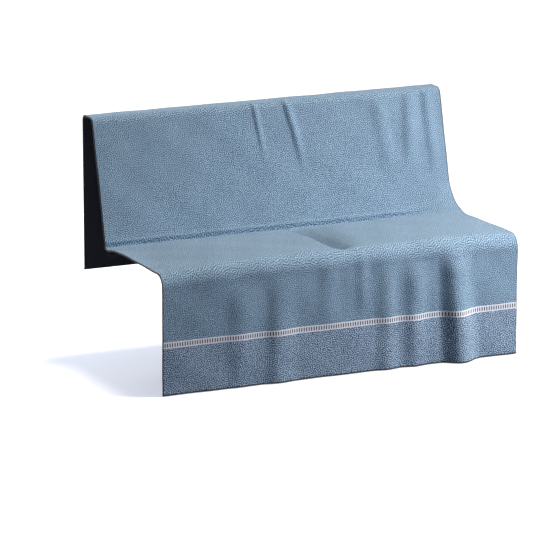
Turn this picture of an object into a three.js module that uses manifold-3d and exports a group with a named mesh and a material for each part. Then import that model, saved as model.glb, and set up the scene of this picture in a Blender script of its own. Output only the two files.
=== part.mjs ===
// An infrared sauna blanket in the shape it takes when it lies over a two-seat sofa: it hangs down in
// front of the seat, runs back over the seat, up the leaning backrest, over its top and down behind.
// Units are millimetres, +Z is up and the blanket's front faces -Y.
// Every piece is drawn flat, as it is cut: u runs across the blanket, s runs from the front hem to the
// rear hem, and depth runs outwards from the underside. onCloth then lays each point on the sofa.
import * as THREE from "three";
import { mergeVertices } from "three/addons/utils/BufferGeometryUtils.js";
import Module from "manifold-3d";

const wasm = await Module();
wasm.setup();

// ---- the cut ----
const WIDTH = 1400;
const FLAT_LENGTH = 2000;

// ---- the sofa that shapes it, measured on the blanket's underside ----
const FRONT_DROP = 426; // seat down to the front hem
const FRONT_REACH = 250; // from the origin forwards to the front drop
const SEAT_DEPTH = 506; // front drop to the corner between seat and backrest
const BACK_RISE = 446; // seat up to the top of the backrest
const BACK_LEAN = THREE.MathUtils.degToRad(14);
const TOP_DEPTH = 79; // thickness of the backrest at its top
const FRONT_EDGE_RADIUS = 40;
const CREASE_RADIUS = 40; // where the blanket is tucked in between seat and backrest
const CREASE_OPEN_RADIUS = 175; // at the right side edge, where it pulls out of the crease
const CREASE_OPEN_WIDTH = 200; // of the blanket's right side, over which it pulls out
const CREASE_REACH = 142; // how far from the corner the pulled-out stretch ends
const TOP_FRONT_RADIUS = 22;
const TOP_REAR_RADIUS = 16;

// ---- the wave that the front hem hangs in ----
const WAVE_FROM_SIDE = 230; // its crest, in from the right side edge
const WAVE_HALF_WIDTH = 88;
const WAVE_OUT = 30;
const WAVE_HEIGHT = 310; // from the hem up to where the wave dies out

// ---- the layers, from the underside outwards ----
const GAP = 0.3; // between any two pieces that touch
const BACK_CLOTH = 0.6;
const REFLECTOR = 0.25;
const FELT = 0.8;
const WIRE_SPACE = 1.8; // between felt and face, held open by the wires and cut-outs
const FACE = 0.8;
const BACK_TOP = BACK_CLOTH;
const REFLECTOR_FROM = BACK_TOP + GAP;
const REFLECTOR_TOP = REFLECTOR_FROM + REFLECTOR;
const FELT_FROM = REFLECTOR_TOP + GAP;
const FELT_TOP = FELT_FROM + FELT;
const FACE_FROM = FELT_TOP + GAP + WIRE_SPACE + GAP;
const FACE_TOP = FACE_FROM + FACE;

// ---- edges, border and ladder trim ----
const EDGE_TAPE = 3; // width of the tape that closes the layers all round
const BORDER_HEIGHT = 170; // hem to trim
const TRIM_HEIGHT = 23;

// ---- heating wires and their leads ----
const WIRE_RADIUS = 0.75;
const LEAD_RADIUS = 0.8;
const SENSOR_LEAD_RADIUS = 0.6;
const RUNS = 6;
const RUN_FROM_SIDE = 110; // each run's straight ends here, in from the side edge
const RUN_FROM_FOLD = 28; // first and last run, in from the ends of their flat stretch
const LEAD_FROM_SIDE = 60; // the innermost lead, in from the left side edge
const LEAD_PITCH = 10;
const LEAD_ENTRY_MARGIN = 7; // outermost lead, in from the end of the inlet's cavity
const SLEEVE_LENGTH = 8;
const SLEEVE_RADIUS = 0.88;
const CUTOUT_LENGTH = 14;
const CUTOUT_WIDTH = 6;
const SENSOR_LENGTH = 6;
const WIRE_DEPTH = FELT_TOP + GAP + WIRE_SPACE / 2;

// ---- the power inlet behind the rear drop ----
const INLET_FROM_SIDE = 145; // its middle, in from the left side edge
const INLET_FROM_HEM = 85; // its middle, up from the rear hem
const INLET_WIDTH = 70;
const INLET_HEIGHT = 60;
const INLET_DEPTH = 13;
const INLET_WALL = 2;
const COVER_THICKNESS = 1.5;
const PATCH_THICKNESS = 0.8;
const PATCH_MARGIN = 20; // patch beyond the housing on each side
const WINDOW_WIDTH = 22;
const WINDOW_MARGIN = 6; // window beyond the outermost lead
const WINDOW_FROM_SIDE = 11; // window in from the housing's left side
const BLOCK_WIDTH = 26;
const PINS = 3;
const PIN_PITCH = 6;
const PIN_RADIUS = 0.8;
const PIN_LENGTH = 14;
const PIN_GRIP = 5; // length of each pin inside its block
const SOCKET_DEPTH = 12; // from the housing's lower face in to the terminal block
const SOCKET_WIDTH = 30;
const SOCKET_HEIGHT = 8;
const SCREW_RADIUS = 1;
const SCREW_HEAD_RADIUS = 2;
const SCREW_HEAD = 1.2;
const SCREW_INSET = 5;
const BOSS = 8;
const LABEL_WIDTH = 40;
const LABEL_HEIGHT = 60;
const LABEL_THICKNESS = 0.4;
const LABEL_FROM_SIDE = 280; // its middle, in from the left side edge

// ---- the drape: straight legs joined by arcs, walked from the front hem ----
const CREASE_TURN = Math.PI / 2 - BACK_LEAN;
const legOf = (radius) => radius * Math.tan(CREASE_TURN / 2);
const REAR_Y = -FRONT_REACH + SEAT_DEPTH + BACK_RISE * Math.tan(BACK_LEAN) + TOP_DEPTH;
const BACK_SLOPE = BACK_RISE / Math.cos(BACK_LEAN);

// How far along s each stretch begins.
const S_FRONT_EDGE = FRONT_DROP - FRONT_EDGE_RADIUS;
const S_SEAT = S_FRONT_EDGE + (FRONT_EDGE_RADIUS * Math.PI) / 2;
const S_CREASE = S_SEAT + SEAT_DEPTH - FRONT_EDGE_RADIUS - CREASE_REACH;
const creaseLength = (radius) => 2 * (CREASE_REACH - legOf(radius)) + radius * CREASE_TURN;
const S_BACK = S_CREASE + creaseLength(CREASE_RADIUS);
const S_TOP_FRONT = S_BACK + BACK_SLOPE - CREASE_REACH - legOf(TOP_FRONT_RADIUS);
const S_TOP = S_TOP_FRONT + TOP_FRONT_RADIUS * CREASE_TURN;
const S_TOP_REAR = S_TOP + TOP_DEPTH - legOf(TOP_FRONT_RADIUS) - TOP_REAR_RADIUS;
const S_REAR = S_TOP_REAR + (TOP_REAR_RADIUS * Math.PI) / 2;

// A walker that keeps its place in the y-z plane and its heading, 0 along +Y and 90 degrees up.
function walk(y, z, heading) {
  const here = { y, z, heading };
  here.straight = (length) => {
    here.y += length * Math.cos(here.heading);
    here.z += length * Math.sin(here.heading);
    return here;
  };
  here.turn = (radius, angle) => {
    const side = Math.sign(angle);
    const next = here.heading + angle;
    here.y += side * radius * (Math.sin(next) - Math.sin(here.heading));
    here.z += side * radius * (Math.cos(here.heading) - Math.cos(next));
    here.heading = next;
    return here;
  };
  return here;
}

// Where the underside is, and which way it heads, at s along a line with this crease radius.
function profileAt(s, creaseRadius) {
  if (s < S_FRONT_EDGE) return walk(-FRONT_REACH, s - FRONT_DROP, Math.PI / 2);
  if (s < S_SEAT)
    return walk(-FRONT_REACH, -FRONT_EDGE_RADIUS, Math.PI / 2).turn(
      FRONT_EDGE_RADIUS,
      -(s - S_FRONT_EDGE) / FRONT_EDGE_RADIUS,
    );
  if (s < S_CREASE) return walk(FRONT_EDGE_RADIUS - FRONT_REACH + s - S_SEAT, 0, 0);
  if (s < S_BACK) {
    const legs = CREASE_REACH - legOf(creaseRadius);
    const done = ((s - S_CREASE) / (S_BACK - S_CREASE)) * creaseLength(creaseRadius);
    const turned = THREE.MathUtils.clamp((done - legs) / creaseRadius, 0, CREASE_TURN);
    const place = walk(SEAT_DEPTH - FRONT_REACH - CREASE_REACH, 0, 0).straight(Math.min(done, legs));
    if (turned > 0) place.turn(creaseRadius, turned);
    return place.straight(Math.max(0, done - legs - creaseRadius * CREASE_TURN));
  }
  if (s < S_TOP_FRONT)
    return walk(SEAT_DEPTH - FRONT_REACH, 0, CREASE_TURN).straight(CREASE_REACH + s - S_BACK);
  const foot = BACK_SLOPE - legOf(TOP_FRONT_RADIUS);
  if (s < S_TOP)
    return walk(SEAT_DEPTH - FRONT_REACH, 0, CREASE_TURN)
      .straight(foot)
      .turn(TOP_FRONT_RADIUS, -(s - S_TOP_FRONT) / TOP_FRONT_RADIUS);
  if (s < S_TOP_REAR) return walk(REAR_Y - TOP_REAR_RADIUS - (S_TOP_REAR - s), BACK_RISE, 0);
  if (s < S_REAR)
    return walk(REAR_Y - TOP_REAR_RADIUS, BACK_RISE, 0).turn(
      TOP_REAR_RADIUS,
      -(s - S_TOP_REAR) / TOP_REAR_RADIUS,
    );
  return walk(REAR_Y, BACK_RISE - TOP_REAR_RADIUS - (s - S_REAR), -Math.PI / 2);
}

function creaseRadiusAt(u) {
  const open = THREE.MathUtils.smoothstep(u, WIDTH / 2 - CREASE_OPEN_WIDTH, WIDTH / 2);
  return THREE.MathUtils.lerp(CREASE_RADIUS, CREASE_OPEN_RADIUS, open);
}

// How far the front hem's wave stands out from the straight drop.
const WAVE_CENTRE = WIDTH / 2 - WAVE_FROM_SIDE;
function waveAt(u, s) {
  const across = Math.abs(u - WAVE_CENTRE) / WAVE_HALF_WIDTH;
  if (across >= 1 || s >= WAVE_HEIGHT) return 0;
  return WAVE_OUT * Math.cos((across * Math.PI) / 2) ** 2 * (1 - s / WAVE_HEIGHT);
}

function onCloth(u, s, depth) {
  const place = profileAt(s, creaseRadiusAt(u));
  const out = depth + waveAt(u, s);
  return new THREE.Vector3(
    u,
    place.y - out * Math.sin(place.heading),
    place.z + out * Math.cos(place.heading),
  );
}

// ---- the lines that every layer is folded along ----
const LAYER_U = WIDTH / 2 - EDGE_TAPE - GAP;
const LAYER_FIRST = EDGE_TAPE + GAP;
const LAYER_LAST = FLAT_LENGTH - EDGE_TAPE - GAP;
const between = (from, to, count) =>
  Array.from({ length: count }, (_, i) => from + ((to - from) * (i + 1)) / (count + 1));
const waveColumns = [-1, -0.5, 0, 0.5, 1].map((k) => WAVE_CENTRE + k * WAVE_HALF_WIDTH);
const openColumns = between(waveColumns[4], LAYER_U, 2);
const COLUMNS = [-LAYER_U, -0.47 * LAYER_U, 0.25 * LAYER_U, ...waveColumns, ...openColumns, LAYER_U];
const trimLines = [BORDER_HEIGHT, BORDER_HEIGHT + TRIM_HEIGHT];
const ROWS = [
  LAYER_FIRST,
  ...between(LAYER_FIRST, BORDER_HEIGHT, 2),
  ...trimLines,
  ...between(trimLines[1], WAVE_HEIGHT, 1),
  WAVE_HEIGHT,
  S_FRONT_EDGE,
  ...between(S_FRONT_EDGE, S_SEAT, 3),
  S_SEAT,
  0.62 * S_SEAT + 0.38 * S_CREASE,
  S_CREASE,
  ...between(S_CREASE, S_BACK, 11),
  S_BACK,
  S_TOP_FRONT,
  ...between(S_TOP_FRONT, S_TOP, 3),
  S_TOP,
  S_TOP_REAR,
  ...between(S_TOP_REAR, S_REAR, 3),
  S_REAR,
  ...trimLines.map((s) => FLAT_LENGTH - s).reverse(),
  LAYER_LAST,
];

// ---- helpers that make closed bodies ----
function closedGrid(columns, rows, depthFrom, depthTo) {
  const points = [];
  for (const depth of [depthFrom, depthTo])
    for (const s of rows) for (const u of columns) points.push(onCloth(u, s, depth));
  const across = columns.length;
  const layer = across * rows.length;
  const at = (row, column, side) => side * layer + row * across + column;
  const faces = [];
  const quad = (a, b, c, d) => faces.push(a, b, c, a, c, d);
  for (let r = 0; r + 1 < rows.length; r++)
    for (let c = 0; c + 1 < across; c++) {
      quad(at(r, c, 1), at(r, c + 1, 1), at(r + 1, c + 1, 1), at(r + 1, c, 1));
      faces.push(at(r, c, 0), at(r + 1, c + 1, 0), at(r, c + 1, 0));
      faces.push(at(r, c, 0), at(r + 1, c, 0), at(r + 1, c + 1, 0));
    }
  for (let r = 0; r + 1 < rows.length; r++) {
    const last = across - 1;
    quad(at(r, 0, 0), at(r, 0, 1), at(r + 1, 0, 1), at(r + 1, 0, 0));
    quad(at(r, last, 1), at(r, last, 0), at(r + 1, last, 0), at(r + 1, last, 1));
  }
  for (let c = 0; c + 1 < across; c++) {
    const last = rows.length - 1;
    quad(at(0, c, 0), at(0, c + 1, 0), at(0, c + 1, 1), at(0, c, 1));
    quad(at(last, c, 1), at(last, c + 1, 1), at(last, c + 1, 0), at(last, c, 0));
  }
  return new THREE.BufferGeometry().setFromPoints(points).setIndex(faces);
}

// A sheet of the blanket between two lines across it, folded along the shared rows.
function sheet(from, to, depthFrom, depthTo) {
  const rows = [from, ...ROWS.filter((s) => s > from + GAP && s < to - GAP), to];
  return closedGrid(COLUMNS, rows, depthFrom, depthTo);
}

// A round wire through flat points [u, s, depth], with a ring wherever it crosses a folding line.
function wire(points, radius) {
  const SIDES = 8;
  const path = [];
  points.forEach((point, i) => {
    path.push(point);
    const next = points[i + 1];
    if (!next || next.s === point.s) return;
    const low = Math.min(point.s, next.s) + GAP;
    const high = Math.max(point.s, next.s) - GAP;
    const crossed = ROWS.filter((s) => s > low && s < high);
    if (next.s < point.s) crossed.reverse();
    for (const s of crossed) {
      const k = (s - point.s) / (next.s - point.s);
      const mix = (name) => point[name] + k * (next[name] - point[name]);
      path.push({ u: mix("u"), s, depth: mix("depth") });
    }
  });
  const flat = path.map((p) => new THREE.Vector3(p.u, p.s, p.depth));
  const out = new THREE.Vector3(0, 0, 1);
  const vertices = [];
  flat.forEach((centre, i) => {
    const before = centre.clone().sub(flat[Math.max(0, i - 1)]).normalize();
    const after = flat[Math.min(flat.length - 1, i + 1)].clone().sub(centre).normalize();
    const along = before.clone().add(after).normalize();
    const side = new THREE.Vector3().crossVectors(along, out).normalize();
    const up = new THREE.Vector3().crossVectors(side, along);
    for (let k = 0; k < SIDES; k++) {
      const angle = ((k + 0.5) * 2 * Math.PI) / SIDES;
      const spot = centre
        .clone()
        .addScaledVector(side, radius * Math.cos(angle))
        .addScaledVector(up, radius * Math.sin(angle));
      vertices.push(onCloth(spot.x, spot.y, spot.z));
    }
  });
  const faces = [];
  for (let i = 0; i + 1 < flat.length; i++)
    for (let k = 0; k < SIDES; k++) {
      const a = i * SIDES + k;
      const b = i * SIDES + ((k + 1) % SIDES);
      faces.push(a, b + SIDES, b, a, a + SIDES, b + SIDES);
    }
  const last = (flat.length - 1) * SIDES;
  for (let k = 1; k + 1 < SIDES; k++) {
    faces.push(0, k, k + 1);
    faces.push(last, last + k + 1, last + k);
  }
  return new THREE.BufferGeometry().setFromPoints(vertices).setIndex(faces);
}

// A box on a flat stretch of the blanket, from its lowest to its highest u, s and depth.
function block(u, s, depth) {
  return closedGrid(u, s, depth[0], depth[1]);
}

function solidOf(geometry) {
  const bare = new THREE.BufferGeometry();
  bare.setAttribute("position", geometry.getAttribute("position")).setIndex(geometry.index);
  const merged = mergeVertices(bare, 1e-4);
  return new wasm.Manifold(
    new wasm.Mesh({
      numProp: 3,
      vertProperties: Float32Array.from(merged.attributes.position.array),
      triVerts: Uint32Array.from(merged.index.array),
    }),
  );
}

function geometryOf(solid) {
  const mesh = solid.getMesh();
  const geometry = new THREE.BufferGeometry();
  geometry.setAttribute("position", new THREE.BufferAttribute(mesh.vertProperties, 3));
  geometry.setIndex(new THREE.BufferAttribute(mesh.triVerts, 1));
  return geometry;
}

function cut(geometry, ...holes) {
  return geometryOf(holes.reduce((solid, hole) => solid.subtract(solidOf(hole)), solidOf(geometry)));
}

// A round bar on the flat rear drop, along depth or along s.
function bar(radius, centre, from, to, along) {
  const shape = new THREE.CylinderGeometry(radius, radius, to - from, 16);
  if (along === "s") shape.rotateX(Math.PI / 2);
  const middle = (from + to) / 2;
  const place =
    along === "s" ? onCloth(centre.u, middle, centre.depth) : onCloth(centre.u, centre.s, middle);
  return shape.translate(place.x, place.y, place.z);
}

// ---- materials ----
const finish = (color, roughness, metalness = 0) =>
  new THREE.MeshStandardMaterial({ color, roughness, metalness });
const PRINTED_CLOTH = finish(0x86a3bd, 0.92);
const BORDER_CLOTH = finish(0x6f8eaa, 0.92);
const TRIM_TAPE = finish(0xb9bccb, 0.85);
const DARK_CLOTH = finish(0x2b2e38, 0.95);
const FOIL = finish(0xb8bcc2, 0.3, 0.9);
const WHITE_FELT = finish(0xdedbd2, 1);
const WIRE_COAT = finish(0xa9342c, 0.5);
const LEAD_COAT = finish(0x23252a, 0.5);
const PLASTIC = finish(0x26282d, 0.45);
const METAL = finish(0xc3c5c8, 0.3, 1);
const LABEL = finish(0xe9e7e1, 0.8);

const blanket = new THREE.Group();
function add(name, geometry, material) {
  const mesh = new THREE.Mesh(geometry, material);
  mesh.name = name;
  blanket.add(mesh);
}

// ---- the power inlet's places, which the windows in the layers share ----
const INLET_U = INLET_FROM_SIDE - WIDTH / 2;
const INLET_S = FLAT_LENGTH - INLET_FROM_HEM;
const COVER_TOP = -GAP - PATCH_THICKNESS - GAP;
const COVER_FROM = COVER_TOP - COVER_THICKNESS;
const BODY_TOP = COVER_FROM - GAP;
const BODY_FROM = BODY_TOP - INLET_DEPTH;
const spread = (middle, size) => [middle - size / 2, middle + size / 2];
const grow = ([low, high], by) => [low - by, high + by];
const inletU = spread(INLET_U, INLET_WIDTH);
const inletS = spread(INLET_S, INLET_HEIGHT);
const cavityS = [inletS[0] + INLET_WALL, inletS[1] - SOCKET_DEPTH];
const LEADS = 5;
const entrySpan = cavityS[1] - cavityS[0] - 2 * LEAD_ENTRY_MARGIN;
const entry = (k) => cavityS[0] + LEAD_ENTRY_MARGIN + (k / (LEADS - 1)) * entrySpan;
const windowLeft = inletU[0] + WINDOW_FROM_SIDE;
const windowU = [windowLeft, windowLeft + WINDOW_WIDTH];
const windowS = [entry(0) - WINDOW_MARGIN, entry(LEADS - 1) + WINDOW_MARGIN];
const windowThrough = (from, to) => block(windowU, windowS, [from - 1, to + 1]);

// ---- layers ----
add(
  "back_cloth",
  cut(sheet(LAYER_FIRST, LAYER_LAST, 0, BACK_TOP), windowThrough(0, BACK_TOP)),
  DARK_CLOTH,
);
add(
  "reflector_film",
  cut(
    sheet(LAYER_FIRST, LAYER_LAST, REFLECTOR_FROM, REFLECTOR_TOP),
    windowThrough(REFLECTOR_FROM, REFLECTOR_TOP),
  ),
  FOIL,
);
add(
  "insulating_felt",
  cut(sheet(LAYER_FIRST, LAYER_LAST, FELT_FROM, FELT_TOP), windowThrough(FELT_FROM, FELT_TOP)),
  WHITE_FELT,
);
const [trimLow, trimHigh] = trimLines;
const seam = GAP / 2;
const face = (name, from, to, material) => add(name, sheet(from, to, FACE_FROM, FACE_TOP), material);
face("front_border", LAYER_FIRST, trimLow - seam, BORDER_CLOTH);
face("front_ladder_trim", trimLow + seam, trimHigh - seam, TRIM_TAPE);
face("face_cloth", trimHigh + seam, FLAT_LENGTH - trimHigh - seam, PRINTED_CLOTH);
face("rear_ladder_trim", FLAT_LENGTH - trimHigh + seam, FLAT_LENGTH - trimLow - seam, TRIM_TAPE);
face("rear_border", FLAT_LENGTH - trimLow + seam, LAYER_LAST, BORDER_CLOTH);

// ---- the tape that closes the layers all round ----
const sideRows = [0, ...ROWS.slice(1, -1), FLAT_LENGTH];
add(
  "edge_tape_left",
  closedGrid([-WIDTH / 2, -WIDTH / 2 + EDGE_TAPE], sideRows, 0, FACE_TOP),
  DARK_CLOTH,
);
add(
  "edge_tape_right",
  closedGrid([WIDTH / 2 - EDGE_TAPE, WIDTH / 2], sideRows, 0, FACE_TOP),
  DARK_CLOTH,
);
add("edge_tape_front", closedGrid(COLUMNS, [0, EDGE_TAPE], 0, FACE_TOP), DARK_CLOTH);
add(
  "edge_tape_rear",
  closedGrid(COLUMNS, [FLAT_LENGTH - EDGE_TAPE, FLAT_LENGTH], 0, FACE_TOP),
  DARK_CLOTH,
);

// ---- heating wires: runs from side to side, joined by half circles ----
const RUN_REACH = WIDTH / 2 - RUN_FROM_SIDE;
function serpentine(first, pitch) {
  const STEPS = 6;
  const points = [];
  for (let run = 0; run < RUNS; run++) {
    const s = first + run * pitch;
    const side = run % 2 ? -1 : 1;
    points.push({ u: -side * RUN_REACH, s, depth: WIRE_DEPTH });
    points.push({ u: side * RUN_REACH, s, depth: WIRE_DEPTH });
    if (run === RUNS - 1) break;
    for (let k = 1; k < STEPS; k++) {
      const angle = (k / STEPS) * Math.PI;
      points.push({
        u: side * (RUN_REACH + (pitch / 2) * Math.sin(angle)),
        s: s + (pitch / 2) * (1 - Math.cos(angle)),
        depth: WIRE_DEPTH,
      });
    }
  }
  return points;
}

// A lead's slot is its place in the row of leads, 0 next to the runs.
const circuits = [
  { name: "seat", from: S_SEAT, to: S_CREASE, slots: [4, 2] },
  { name: "back", from: S_BACK, to: S_TOP_FRONT, slots: [1, 0] },
];
const SENSOR_SLOT = 3;

// ---- leads: along the left side, over the top, and in through the window behind ----
const leadDrop = (BODY_TOP + BODY_FROM) / 2;
function leadPath(startU, startS, slot) {
  const u = LEAD_FROM_SIDE - WIDTH / 2 - slot * LEAD_PITCH;
  const s = entry(slot);
  const corner = 3;
  return [
    { u: startU, s: startS, depth: WIRE_DEPTH },
    { u: u + corner, s: startS, depth: WIRE_DEPTH },
    { u, s: startS + corner, depth: WIRE_DEPTH },
    { u, s: s - corner, depth: WIRE_DEPTH },
    { u: u + corner, s, depth: WIRE_DEPTH },
    { u: windowU[0] + 3, s, depth: WIRE_DEPTH },
    { u: windowU[1] - 5, s, depth: leadDrop },
    { u: windowU[1], s, depth: leadDrop },
  ];
}

for (const { name, from, to, slots } of circuits) {
  const first = from + RUN_FROM_FOLD;
  const last = to - RUN_FROM_FOLD;
  const pitch = (last - first) / (RUNS - 1);
  add("heating_wire_" + name, wire(serpentine(first, pitch), WIRE_RADIUS), WIRE_COAT);
  const sleeveFrom = -RUN_REACH - GAP;
  const sleeveTo = sleeveFrom - SLEEVE_LENGTH;
  const cutoutFrom = sleeveTo - GAP;
  const cutoutTo = cutoutFrom - CUTOUT_LENGTH;
  [first, last].forEach((s, k) => {
    add(
      "crimp_sleeve_" + name + "_" + (k + 1),
      wire(
        [
          { u: sleeveTo, s, depth: WIRE_DEPTH },
          { u: sleeveFrom, s, depth: WIRE_DEPTH },
        ],
        SLEEVE_RADIUS,
      ),
      METAL,
    );
    const leadFrom = k ? cutoutTo - GAP : sleeveTo - GAP;
    add("lead_" + name + "_" + (k + 1), wire(leadPath(leadFrom, s, slots[k]), LEAD_RADIUS), LEAD_COAT);
  });
  add(
    "thermal_cutout_" + name,
    block(
      [cutoutTo, cutoutFrom],
      spread(last, CUTOUT_WIDTH),
      [FELT_TOP + GAP, FELT_TOP + GAP + WIRE_SPACE],
    ),
    PLASTIC,
  );
}

// The sensor lies in the middle of the seat, in the open channel between two runs.
const sensorS = (S_SEAT + S_CREASE) / 2;
add(
  "temperature_sensor",
  wire(
    [
      { u: -SENSOR_LENGTH, s: sensorS, depth: WIRE_DEPTH },
      { u: 0, s: sensorS, depth: WIRE_DEPTH },
    ],
    SLEEVE_RADIUS,
  ),
  PLASTIC,
);
add(
  "sensor_lead",
  wire(leadPath(-SENSOR_LENGTH - GAP, sensorS, SENSOR_SLOT), SENSOR_LEAD_RADIUS),
  LEAD_COAT,
);

// ---- the inlet: patch, cover plate, housing, terminal block, pins and screws ----
add(
  "inlet_patch",
  cut(
    block(grow(inletU, PATCH_MARGIN), grow(inletS, PATCH_MARGIN), [-GAP - PATCH_THICKNESS, -GAP]),
    windowThrough(-GAP - PATCH_THICKNESS, -GAP),
  ),
  DARK_CLOTH,
);
const screwPlaces = [];
for (const u of grow(inletU, -SCREW_INSET))
  for (const s of grow(inletS, -SCREW_INSET)) screwPlaces.push({ u, s });
const screwHoles = (from, to) =>
  screwPlaces.map((place) => bar(SCREW_RADIUS + GAP, place, from - 1, to + 1, "depth"));
add(
  "inlet_cover",
  cut(
    block(inletU, inletS, [COVER_FROM, COVER_TOP]),
    windowThrough(COVER_FROM, COVER_TOP),
    ...screwHoles(COVER_FROM, COVER_TOP),
  ),
  PLASTIC,
);
const cavityFloor = BODY_FROM + INLET_WALL;
const cavity = cut(
  block(grow(inletU, -INLET_WALL), cavityS, [cavityFloor, BODY_TOP + 1]),
  ...screwPlaces.map(({ u, s }) => block(spread(u, BOSS), spread(s, BOSS), [BODY_FROM, BODY_TOP + 2])),
);
const blockU = [windowU[1] + GAP, windowU[1] + GAP + BLOCK_WIDTH];
const blockMiddle = (blockU[0] + blockU[1]) / 2;
const blockS = grow(cavityS, -GAP);
const socket = block(
  spread(blockMiddle, SOCKET_WIDTH),
  [cavityS[1] - 1, inletS[1] + 1],
  spread(leadDrop, SOCKET_HEIGHT),
);
add(
  "inlet_body",
  cut(block(inletU, inletS, [BODY_FROM, BODY_TOP]), cavity, socket, ...screwHoles(BODY_FROM, BODY_TOP)),
  PLASTIC,
);
const pinPlaces = Array.from({ length: PINS }, (_, k) => ({
  u: blockMiddle + (k - (PINS - 1) / 2) * PIN_PITCH,
  depth: leadDrop,
}));
const pinFrom = blockS[1] - PIN_GRIP;
add(
  "terminal_block",
  cut(
    block(blockU, blockS, [cavityFloor + GAP, BODY_TOP - GAP]),
    ...pinPlaces.map((place) => bar(PIN_RADIUS + GAP, place, pinFrom - GAP, blockS[1] + 1, "s")),
  ),
  PLASTIC,
);
pinPlaces.forEach((place, k) =>
  add("contact_pin_" + (k + 1), bar(PIN_RADIUS, place, pinFrom, pinFrom + PIN_LENGTH, "s"), METAL),
);
screwPlaces.forEach((place, k) => {
  const headFrom = BODY_FROM - GAP - SCREW_HEAD;
  const shank = bar(SCREW_RADIUS, place, headFrom + SCREW_HEAD / 2, COVER_TOP - GAP, "depth");
  const head = bar(SCREW_HEAD_RADIUS, place, headFrom, headFrom + SCREW_HEAD, "depth");
  add("inlet_screw_" + (k + 1), geometryOf(solidOf(head).add(solidOf(shank))), METAL);
});

// ---- the blank care label, sewn in at the rear hem ----
add(
  "care_label",
  block(
    spread(LABEL_FROM_SIDE - WIDTH / 2, LABEL_WIDTH),
    [LAYER_LAST - LABEL_HEIGHT, LAYER_LAST],
    [-GAP - LABEL_THICKNESS, -GAP],
  ),
  LABEL,
);

export default blanket;
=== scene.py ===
"""A heated infrared blanket as it lies over a two-seat sofa: down in front of the seat, back over the
cushions, up the leaning backrest, over its top and down behind. Metres, +Z up, front towards -Y.
Each layer is drawn flat, as it is cut, and then draped. The pieces follow from the underside outwards.
"""

import bpy
import numpy as np
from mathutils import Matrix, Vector


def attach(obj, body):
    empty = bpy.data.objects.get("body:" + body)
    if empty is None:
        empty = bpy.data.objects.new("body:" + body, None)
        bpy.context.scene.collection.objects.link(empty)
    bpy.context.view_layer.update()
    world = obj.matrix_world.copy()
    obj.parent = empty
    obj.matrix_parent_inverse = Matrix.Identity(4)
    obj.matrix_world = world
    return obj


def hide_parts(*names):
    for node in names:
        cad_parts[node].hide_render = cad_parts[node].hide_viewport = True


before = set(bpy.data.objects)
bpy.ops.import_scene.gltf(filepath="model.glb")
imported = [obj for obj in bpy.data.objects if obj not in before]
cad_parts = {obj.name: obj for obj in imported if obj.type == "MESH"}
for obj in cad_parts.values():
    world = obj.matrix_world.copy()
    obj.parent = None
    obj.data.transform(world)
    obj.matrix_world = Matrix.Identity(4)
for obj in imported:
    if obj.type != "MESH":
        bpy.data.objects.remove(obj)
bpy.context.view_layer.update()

# ---- camera ----
# A long lens from the front left, a little above the seat. The blanket has no free cord: its supply
# plugs into the inlet behind the rear drop.
LOOKING_AT = Vector((-0.107, 0.045, -0.134))
AZIMUTH = np.radians(-25.302)
ELEVATION = np.radians(13.524)
DISTANCE = 14.383
CAMERA_LENS = 257.15
CAMERA_SENSOR = 36
CAMERA_REACH = 100
towards_camera = Vector(
    (
        np.sin(AZIMUTH) * np.cos(ELEVATION),
        -np.cos(AZIMUTH) * np.cos(ELEVATION),
        np.sin(ELEVATION),
    )
)
camera_data = bpy.data.cameras.new("camera")
camera_data.lens = CAMERA_LENS
camera_data.sensor_width = CAMERA_SENSOR
camera_data.clip_end = CAMERA_REACH
camera = bpy.data.objects.new("camera", camera_data)
camera.location = LOOKING_AT + DISTANCE * towards_camera
camera.rotation_mode = "QUATERNION"
camera.rotation_quaternion = (-towards_camera).to_track_quat("-Z", "Y")
bpy.context.scene.collection.objects.link(camera)
bpy.context.scene.camera = camera

# ---- lining ----
# The underside: a dark knitted polyester lining, 0.6 mm thick, cut to the blanket's whole size. It lies
# on the sofa, and a window behind the rear drop lets the leads through to the inlet.
MM = 0.001
WIDTH = 1400 * MM
LENGTH = 2000 * MM
GAP = 0.3 * MM
LINING = 0.6 * MM
TAPE_EDGE = 3 * MM
LAYER_SIDE = WIDTH / 2 - TAPE_EDGE - GAP
LAYER_FIRST = TAPE_EDGE + GAP
LAYER_LAST = LENGTH - TAPE_EDGE - GAP
BORDER_HEIGHT = 170 * MM
TRIM_HEIGHT = 23 * MM
TRIM_LOW = BORDER_HEIGHT + GAP / 2
TRIM_HIGH = BORDER_HEIGHT + TRIM_HEIGHT - GAP / 2
FACE_FIRST = TRIM_HIGH + GAP

# The sofa under the blanket, measured on the lining's underside.
FRONT_DROP = 426 * MM
FRONT_REACH = 250 * MM
SEAT_DEPTH = 506 * MM
BACK_RISE = 446 * MM
BACK_LEAN = np.radians(14)
TOP_DEPTH = 79 * MM
FRONT_EDGE_RADIUS = 40 * MM
CREASE_RADIUS = 40 * MM
CREASE_OPEN_RADIUS = 175 * MM
CREASE_OPEN_WIDTH = 200 * MM
CREASE_REACH = 142 * MM
TOP_FRONT_RADIUS = 22 * MM
TOP_REAR_RADIUS = 16 * MM
CREASE_TURN = np.pi / 2 - BACK_LEAN


def leg_of(radius):
    """From a bend's corner to where its arc begins."""
    return radius * np.tan(CREASE_TURN / 2)


def crease_length(radius):
    """The cloth in the crease between seat and backrest, at this radius."""
    return 2 * (CREASE_REACH - leg_of(radius)) + radius * CREASE_TURN


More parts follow.
